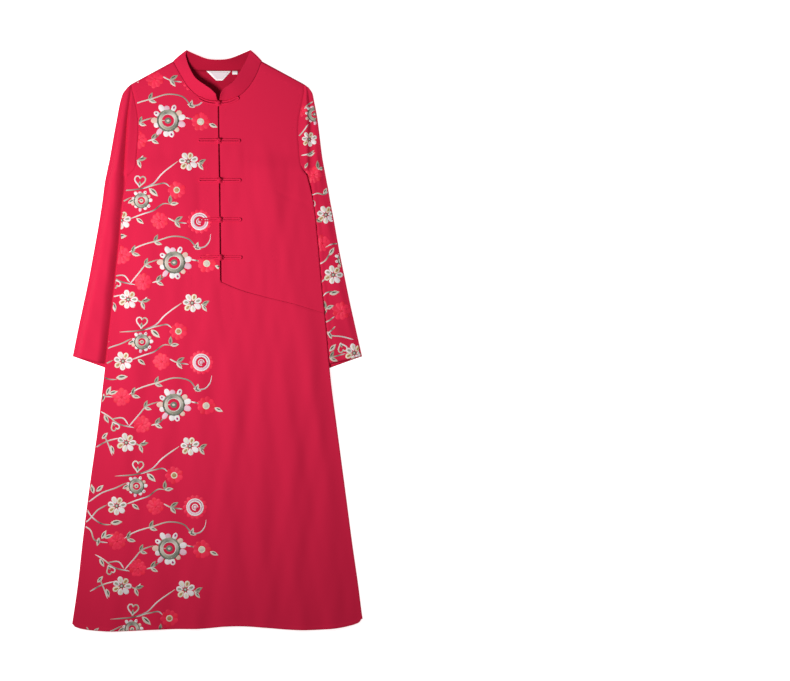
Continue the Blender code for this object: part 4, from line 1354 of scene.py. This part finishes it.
def pale_flower(work, at, size, turn):
    """Seven cream and tan petals round a small centre."""
    tones = ("white", "cream", "white", "white", "cream", "white", "white")
    hearts = ("sage", "tan", "cream", "sage", "tan", "cream", None)
    for k, (tone, heart_tone) in enumerate(zip(tones, hearts)):
        petal(work, at, turn + 360 / 7 * k, 0.22 * size, (1, 0.93)[k % 2] * size, 0.6 * size, tone,
              inner=heart_tone)
    eye(work, at, 0.2 * size, "grey", level=0.3 * MM)
    eye(work, at, 0.1 * size, "pale", level=0.9 * MM, rise=0.4 * MM)


def red_flower(work, at, size, turn):
    """A full coral flower: two rounds of petals and a dotted heart."""
    for k in range(9):
        petal(work, at, turn + 40 * k, 0.1 * size, (1, 0.94)[k % 2] * size, 0.66 * size,
              ("coral", "coral", "deep")[k % 3], FLAT)
    for k in range(7):
        petal(work, at, turn + 20 + 360 / 7 * k, 0.04 * size, 0.62 * size, 0.42 * size, "coral",
              FLAT, 0.2 * MM)
    eye(work, at, 0.12 * size, "deep", level=0.9 * MM)


def eyed_flower(work, at, size, turn):
    """A coral flower with a cream centre."""
    for k in range(9):
        petal(work, at, turn + 40 * k, 0.1 * size, (1, 0.93)[k % 2] * size, 0.68 * size,
              "coral" if k % 3 else "deep", FLAT)
    ring(work, at, 0.29 * size, 0.14 * size, "cream", level=0.5 * MM)
    eye(work, at, 0.24 * size, "tan" if turn > 20 else "pale", level=0.55 * MM)


def disc_flower(work, at, size, turn):
    """A white and pink disc of rings in a scalloped coral rim."""
    for k in range(14):
        petal(work, at, turn + 360 / 14 * k, 0.4 * size, size, 0.42 * size, "coral", FLAT)
    ring(work, at, 0.655 * size, 0.11 * size, "white", level=0.4 * MM)
    ring(work, at, 0.585 * size, 0.06 * size, ("magenta", "pink", "pink", "magenta"),
         level=0.45 * MM, first=turn + 45)
    ring(work, at, 0.5 * size, 0.14 * size, ("white", "pink"), level=0.4 * MM)
    ring(work, at, 0.23 * size, 0.08 * size, "white", level=0.5 * MM, sweep=290, first=turn)
    eye(work, at, 0.14 * size, "pink", level=0.3 * MM)


# %% Leaves, hearts and stems
STEM_WIDTH = 3.3 * MM


def leaf(work, at, size, turn, rim="pale", inner="olive"):
    """A leaf with a darker heart that lies to one side of its rib."""
    for start, share, aside, tone, level in (
        (0, 1.12, 0, rim, 0), (0.2, 0.7, 0.05 * size, inner, 0.35 * MM)
    ):
        line = [polar(polar(at, (start + share * t) * size, turn), aside, turn + 90) for t in ALONG]
        widths = THIN + 0.42 * share ** 2 * size * np.sin(math.pi * ALONG ** 0.85)
        satin(work, line, widths, 0.6 * MM, tone, level)


def leaf_pair(work, at, size, turn):
    """Two leaves that part from a stem."""
    leaf(work, at, size, turn + 42, "sage", "olive")
    leaf(work, at, size * 0.95, turn - 38, "pale", "grey")


def heart(work, at, size, turn):
    """A heart outlined in thread, with a small leaf inside. It stands on its point."""
    turns = np.linspace(0, 2 * math.pi, 30)
    across = 16 * np.sin(turns) ** 3 / 34
    lobes = 13 * np.cos(turns) - 5 * np.cos(2 * turns) - 2 * np.cos(3 * turns) - np.cos(4 * turns)
    up = (lobes + 17) / 30
    a = math.radians(turn)
    ahead, beside = np.array((math.cos(a), math.sin(a))), np.array((math.sin(a), -math.cos(a)))
    line = [np.array(at) + size * (u * ahead + s * beside) for s, u in zip(across, up)]
    satin(work, line, STEM_WIDTH, 0.7 * MM, ("sage", "pale", "white", "pale"))
    leaf(work, at, size * 0.5, turn, "sage", "olive")


def stem(work, points, tones):
    """A stem along a smooth line, its thread changing between dark and pale."""
    line = smooth_line(points, max(8, round(len(points) * 7)))
    taper = np.clip(np.minimum(np.linspace(0.4, 6, len(line)), np.linspace(6, 0.3, len(line))), 0, 1)
    satin(work, line, STEM_WIDTH * taper, 0.6 * MM, tones, across=3)


# %% [markdown]
# ## The chart
#
# The border repeats down the dress about every 31 cm, and was charted from one repeat: a
# row for each motif, placed from the centre of the large ringed flower. One square of the chart is
# 2.175 mm. Four large flowers show, with the foot of a fifth repeat at the shoulder, and the hem cuts
# the lowest one. They wander a few millimetres sideways, as cloth laid by hand does, so a second
# table says where the chart's own middle line runs. The sleeve is cut from another part of the same
# cloth and has its own short chart.

# %% One repeat of the border
SQUARE = 2.175 * MM
MAKERS = {"ringed": ringed_flower, "pale": pale_flower, "red": red_flower, "eyed": eyed_flower,
          "disc": disc_flower, "leaf": leaf, "pair": leaf_pair, "heart": heart}
# kind, across, up, size, turn
BORDER = (
    ("ringed", 0, 0, 17.6, 10), ("eyed", 32.5, -1, 9.8, 0), ("leaf", 40.5, -3, 8.5, -24),
    ("pair", -29.5, -3, 7.5, 24), ("red", -31.5, -19.5, 9.4, 0), ("pair", -18.5, -19.5, 8, 12),
    ("pale", -47, -37.5, 10, 0), ("pair", -34, -39.5, 8.5, -30), ("pale", 16.5, -41, 10, 20),
    ("pair", 26, -43, 8, -14), ("heart", -36, -67, 11.5, 84), ("leaf", -26.5, -68, 11, -42),
    ("eyed", 1, -69.8, 9.2, 22), ("ringed", -36, -80.5, 11.0, 0), ("pair", -8, -84, 8.5, 44),
    ("pale", -56, -100, 10, 10), ("leaf", -41, -98, 8.5, -38), ("red", -17.5, -100.5, 9.2, 20),
    ("pair", -2.5, -101, 8.5, -12), ("disc", 22.3, -101.3, 12.4, 0), ("red", -53, 7.5, 9.8, 10),
    ("pair", -43, 9, 8.5, 26), ("pair", -21.5, 20.5, 8, 22), ("leaf", 20.5, 13, 7.5, 72),
    ("leaf", 26, 13.6, 8, 160), ("leaf", -69.5, -10, 8.5, -62), ("heart", -61, -17, 9, -62),
    ("leaf", -71.5, -34, 8, 48), ("leaf", -62.5, -40, 8.5, -72), ("leaf", -79, -88, 9, 104),
    ("leaf", -76.5, -86, 9, 42), ("leaf", -61, -117, 11, 6), ("leaf", -50, -83, 8, 28),
    ("leaf", -68.5, 9.5, 9, 62), ("leaf", -66, 10.5, 9, 18), ("leaf", -71, 11, 8, -104),
)
STEMS = (
    ((-47, 9), (-42, 13), (-17, 22.5), (-2, 26.6), (13, 23.6), (22.5, 15.4), (29, 16), (33.5, 21.5),
     (34.4, 29)),
    ((-16, 3), (-28, -2), (-34, -9), (-45, -22)),
    ((17, 3), (25, 1.5)),
    ((-74, -6), (-64.6, -11.6), (-56.6, -18), (-39, -22.8)),
    ((-61.4, -14), (-50, -13.5), (-45, -20)),
    ((-22.3, -20.4), (-15, -18), (-9, -12.4)),
    ((-55, -33), (-66, -36), (-79, -43)),
    ((-70, -29), (-66, -37), (-61, -50)),
    ((6, -41), (-12, -54), (-21.5, -63.3), (-32.7, -67.8), (-58, -70.6)),
    ((-32.7, -68.3), (-18.3, -64.3), (-9, -63.3), (-5.5, -66.6)),
    ((-46, -77), (-55.8, -81.8), (-71, -87.3), (-85.3, -97)),
    ((-47, -98.5), (-34.3, -93.8), (-24.7, -90.6), (-12.7, -83.3), (-8, -84)),
    ((-9.5, -97.7), (-3, -101), (9.8, -103.3)),
    ((-66, -99), (-75.7, -105), (-80.5, -111.3), (-87.7, -118.3)),
    ((-87, -101.7), (-79.7, -111.3), (-67.7, -118.3), (-60, -118.6)),
    ((-87.7, -119.3), (-80.5, -124), (-75.7, -133.6), (-62, -136.5)),
    ((-38, -38), (-34, -40), (-28, -35)),
    ((25, -42), (28, -44), (31, -43)),
)
# Where the large ringed flower of each repeat lies: up, stretch of the repeat
REPEATS = ((361.5, 1), (219.7, 0.995), (77.9, 0.985), (-64.2, 1.01), (-207.8, 1))
# Where the chart's middle line runs: up, across
WANDER = np.array((
    (-300, -49), (-207.8, -47.8), (-164.5, -44.2), (-145.5, -44.6), (-133.5, -43.8), (-102.5, -43.8),
    (-64.2, -43.4), (-20.5, -38.0), (-2.5, -38.9), (8.5, -39.5), (37.5, -41.6), (77.9, -43.0),
    (120.5, -39.8), (136.5, -39.1), (152.5, -41.6), (179.5, -45.4), (219.7, -49.2), (260.5, -44.9),
    (361.5, -49.2),
))
STEM_TONES = (("white", "pale", "grey", "white"), ("sage", "white"), ("pale", "white", "olive", "pale"))


def embroider(work, motifs, stems, place):
    """Draws a chart's stems and then its motifs over them. place takes squares to the plan."""
    for index, points in enumerate(stems):
        stem(work, [place(*point) for point in points], STEM_TONES[index % 3])
    for kind, across, up, size, turn in motifs:
        MAKERS[kind](work, place(across, up), size * SQUARE, turn)


# %% The border on the front
def on_border(first, stretch):
    """The function that takes squares of one repeat to the plan."""
    def place(across, up):
        level = first + stretch * up
        return np.array((across + np.interp(level, WANDER[:, 0], WANDER[:, 1]), level)) * SQUARE
    return place


BORDER_INSET = 1.2 * MM
COLLAR_FROG_END, COLLAR_FROG_LOW = -50 * MM, 521 * MM
border = new_work()
for repeat in REPEATS:
    embroider(border, BORDER, STEMS, on_border(*repeat))


def beside_collar(x, y):
    """Whether a point of the border lies clear of the side edge and of the collar's frog."""
    clear_of_frog = x < COLLAR_FROG_END or y < COLLAR_FROG_LOW
    return x > -panel_edge(LEFT, y) + BORDER_INSET and clear_of_frog


sew_on(border, tree_of(front), "front_embroidery", keep=beside_collar)

# %% [markdown]
# ## The embroidered sleeve
#
# Only the strip of the wearer's left sleeve beside the body shows. Its chart is placed from the
# middle of the dress. What would lie under the body's edge is cut off there, as it can't be seen
# and would touch the back.

# %% The sleeve's chart
SLEEVE_MOTIFS = (
    ("red", 83.5, 230, 7, 0), ("ringed", 97.4, 226, 10.5, 10), ("pale", 92, 201, 8, 20),
    ("leaf", 90, 184.5, 7.5, 22), ("leaf", 87.5, 172, 6, 60), ("pair", 100.5, 171, 8, 50),
    ("red", 96.5, 165.5, 9, 0), ("leaf", 106, 146, 7, 60), ("pale", 108.6, 125.5, 9.6, 12),
    ("pair", 97, 121, 7.5, -60), ("red", 104.6, 97, 9, 15), ("leaf", 112, 85, 8.5, 58),
    ("ringed", 127.5, 81, 10.5, 30), ("pale", 115.9, 65.5, 9.8, 0), ("leaf", 112, 46.5, 9.5, 12),
    ("pair", 108.5, 31.5, 8.5, 62), ("leaf", 109, 32, 9, -112), ("red", 124, 29.5, 9.6, 0),
    ("heart", 123, -2.5, 9.5, -68), ("leaf", 110, 9, 8, -58), ("leaf", 112, -11, 9, 48),
    ("pale", 137, -12.5, 9.8, 0), ("pair", 112.5, -18, 8, 20),
)
SLEEVE_STEMS = (
    ((86, 230), (90, 235), (96, 239)), ((79, 202), (86, 209), (91, 216)),
    ((84, 185), (90, 186), (97, 190)),
    ((94, 145), (100, 147), (107, 146), (112, 150)), ((94, 141), (97, 139), (97, 134), (94, 132)),
    ((108, 93), (114, 96), (121, 97)), ((101, 76), (107, 79), (112, 86), (114, 90)),
    ((102, 55), (106, 60), (110, 62)), ((104, 43), (110, 48), (118, 49)),
    ((107, 18), (112, 20), (117, 24)), ((106, 8), (114, 5), (124, 4), (136, 1)),
    ((108, 5), (113, 9), (118, 14)),
    ((107, -19), (114, -17), (128, -13)),
)
sleeve_work = new_work()
embroider(sleeve_work, SLEEVE_MOTIFS, SLEEVE_STEMS, lambda across, up: np.array((across, up)) * SQUARE)


def beside_body(x, y):
    """Whether a point of the sleeve lies clear of the body's edge and of the sleeve's outer fold."""
    return float(panel_edge(x, y)) + 0.4 * MM < x < float(read(SLEEVE_OUTER, y, of_side(RIGHT))) - 1 * MM


sew_on(sleeve_work, sleeve_tree, "sleeve_embroidery", keep=beside_body)

# %% [markdown]
# ## Lines of stitching
#
# A lockstitch shows as short, slightly sunk threads in the colour of the cloth. A real stitch of
# 3 mm is one and a half pixels here, so it is there for the closer views. The hem's line follows
# the edge all the way, and each cuff has one across its top layer.

# %% Hem and cuff stitches
STITCH, STITCH_STEP, STITCH_WIDTH = 3.2 * MM, 4.4 * MM, 0.9 * MM


def stitch_line(work, line):
    """Short stitches, evenly spaced along a plan line."""
    line = np.array(line)
    lengths = np.concatenate([[0], np.cumsum(np.linalg.norm(np.diff(line, axis=0), axis=1))])
    for start in np.arange(0, lengths[-1] - STITCH, STITCH_STEP):
        at = np.linspace(start, start + STITCH, 4)
        points = np.stack([np.interp(at, lengths, line[:, i]) for i in (0, 1)], axis=1)
        satin(work, points, STITCH_WIDTH * np.array((0.5, 1, 1, 0.5)), 0.35 * MM, "red", across=2)


hem_work = new_work()
hem_x = np.linspace(-306, 307, 220) * MM
stitch_line(hem_work, np.stack([hem_x, hem(hem_x) + HEM_DEPTH], axis=1))
sew_on(hem_work, tree_of(front), "hem_stitches")
for side, name in ((LEFT, "plain"), (RIGHT, "embroidered")):
    outer_y = SLEEVE_LOW_ROWS[-1, 0] + CUFF_LINE
    inner_y = np.interp(outer_y, *SLEEVE_LOW_ROWS[::-1].T)
    ends = [np.array((side * read(rows, y, of_side(side)), y))
            for rows, y in ((SLEEVE_OUTER, outer_y), (SLEEVE_INNER, inner_y))]
    cuff_work = new_work()
    stitch_line(cuff_work, [ends[0] + t * (ends[1] - ends[0]) for t in np.linspace(0.03, 0.9, 30)])
    sew_on(cuff_work, tree_of(sleeves[side]), f"cuff_stitches_{name}",
           keep=lambda x, y: abs(x) > float(panel_edge(x, y)) + 1 * MM)

# %% [markdown]
# ## The table, the light and the camera
#
# The photograph is a plain studio shot from straight above, on white, with one broad light from
# the upper left that lets the folds show. The camera is square to the table and a little to the
# right of the dress, so that the dress stands where it does in the photograph. No lens shift is
# needed. The colours are shown plainly, without a film curve, because a catalogue picture is.

# %% Floor, light and camera
PICTURE_WIDTH, PICTURE_HEIGHT = 790, 681
DRESS_ACROSS, DRESS_DOWN = 217.4, 340.5  # where the picture has the middle of the dress
SEEN_WIDTH = PICTURE_WIDTH * SQUARE
CAMERA_X = (PICTURE_WIDTH / 2 - DRESS_ACROSS) * SQUARE
CAMERA_Y = (DRESS_DOWN - PICTURE_HEIGHT / 2) * SQUARE
LENS, SENSOR = 120, 36
TABLE_SIZE = 6
TABLE_DROP = 0.2 * MM  # a table just below the cloth doesn't flicker into its underside

floor_work = bmesh.new()
bmesh.ops.create_grid(
    floor_work, x_segments=1, y_segments=1, size=TABLE_SIZE,
    matrix=Matrix.Translation((0, 0, -TABLE_DROP))
)
floor_mesh = bpy.data.meshes.new("table_top")
floor_work.to_mesh(floor_mesh)
floor_work.free()
table_paint, _, table_shader = new_material("matt_white_paint", Roughness=0.9, IOR=1.5)
table_shader.inputs["Base Color"].default_value = colour("#F7F7F7")
table_shader.inputs["Emission Color"].default_value = colour("#FFFFFF")
table_shader.inputs["Emission Strength"].default_value = 0.8
floor = bpy.data.objects.new("table_top", floor_mesh)
floor_mesh.materials.append(table_paint)
bpy.context.scene.collection.objects.link(floor)


def soft_light(name, place, aim, size, watts, code):
    """A square area light that shines from its place at its aim and is itself unseen."""
    lamp = bpy.data.lights.new(name, "AREA")
    lamp.energy, lamp.size, lamp.color = watts, size, colour(code)[:3]
    light = bpy.data.objects.new(name, lamp)
    light.location = place
    light.rotation_euler = (Vector(aim) - Vector(place)).to_track_quat("-Z", "Y").to_euler()
    light.visible_camera = False
    bpy.context.scene.collection.objects.link(light)
    return light


soft_light("key_light", (-0.56, 0.08, 1.12), (0.38, 0.73, 0), size=0.4, watts=20.5, code="#FFFFFF")

scene = bpy.context.scene
world = bpy.data.worlds.new("studio")
scene.world = world
world.use_nodes = True
background = world.node_tree.nodes["Background"]
background.inputs["Color"].default_value = colour("#FFFFFF")
background.inputs["Strength"].default_value = 0.20
scene.view_settings.view_transform = "Standard"

lens = bpy.data.cameras.new("camera")
lens.lens, lens.sensor_width, lens.clip_end = LENS, SENSOR, 50
camera = bpy.data.objects.new("camera", lens)
camera.location = (CAMERA_X, CAMERA_Y, SEEN_WIDTH * LENS / SENSOR)
scene.collection.objects.link(camera)
scene.camera = camera
print("camera height, m:", round(camera.location.z, 3))
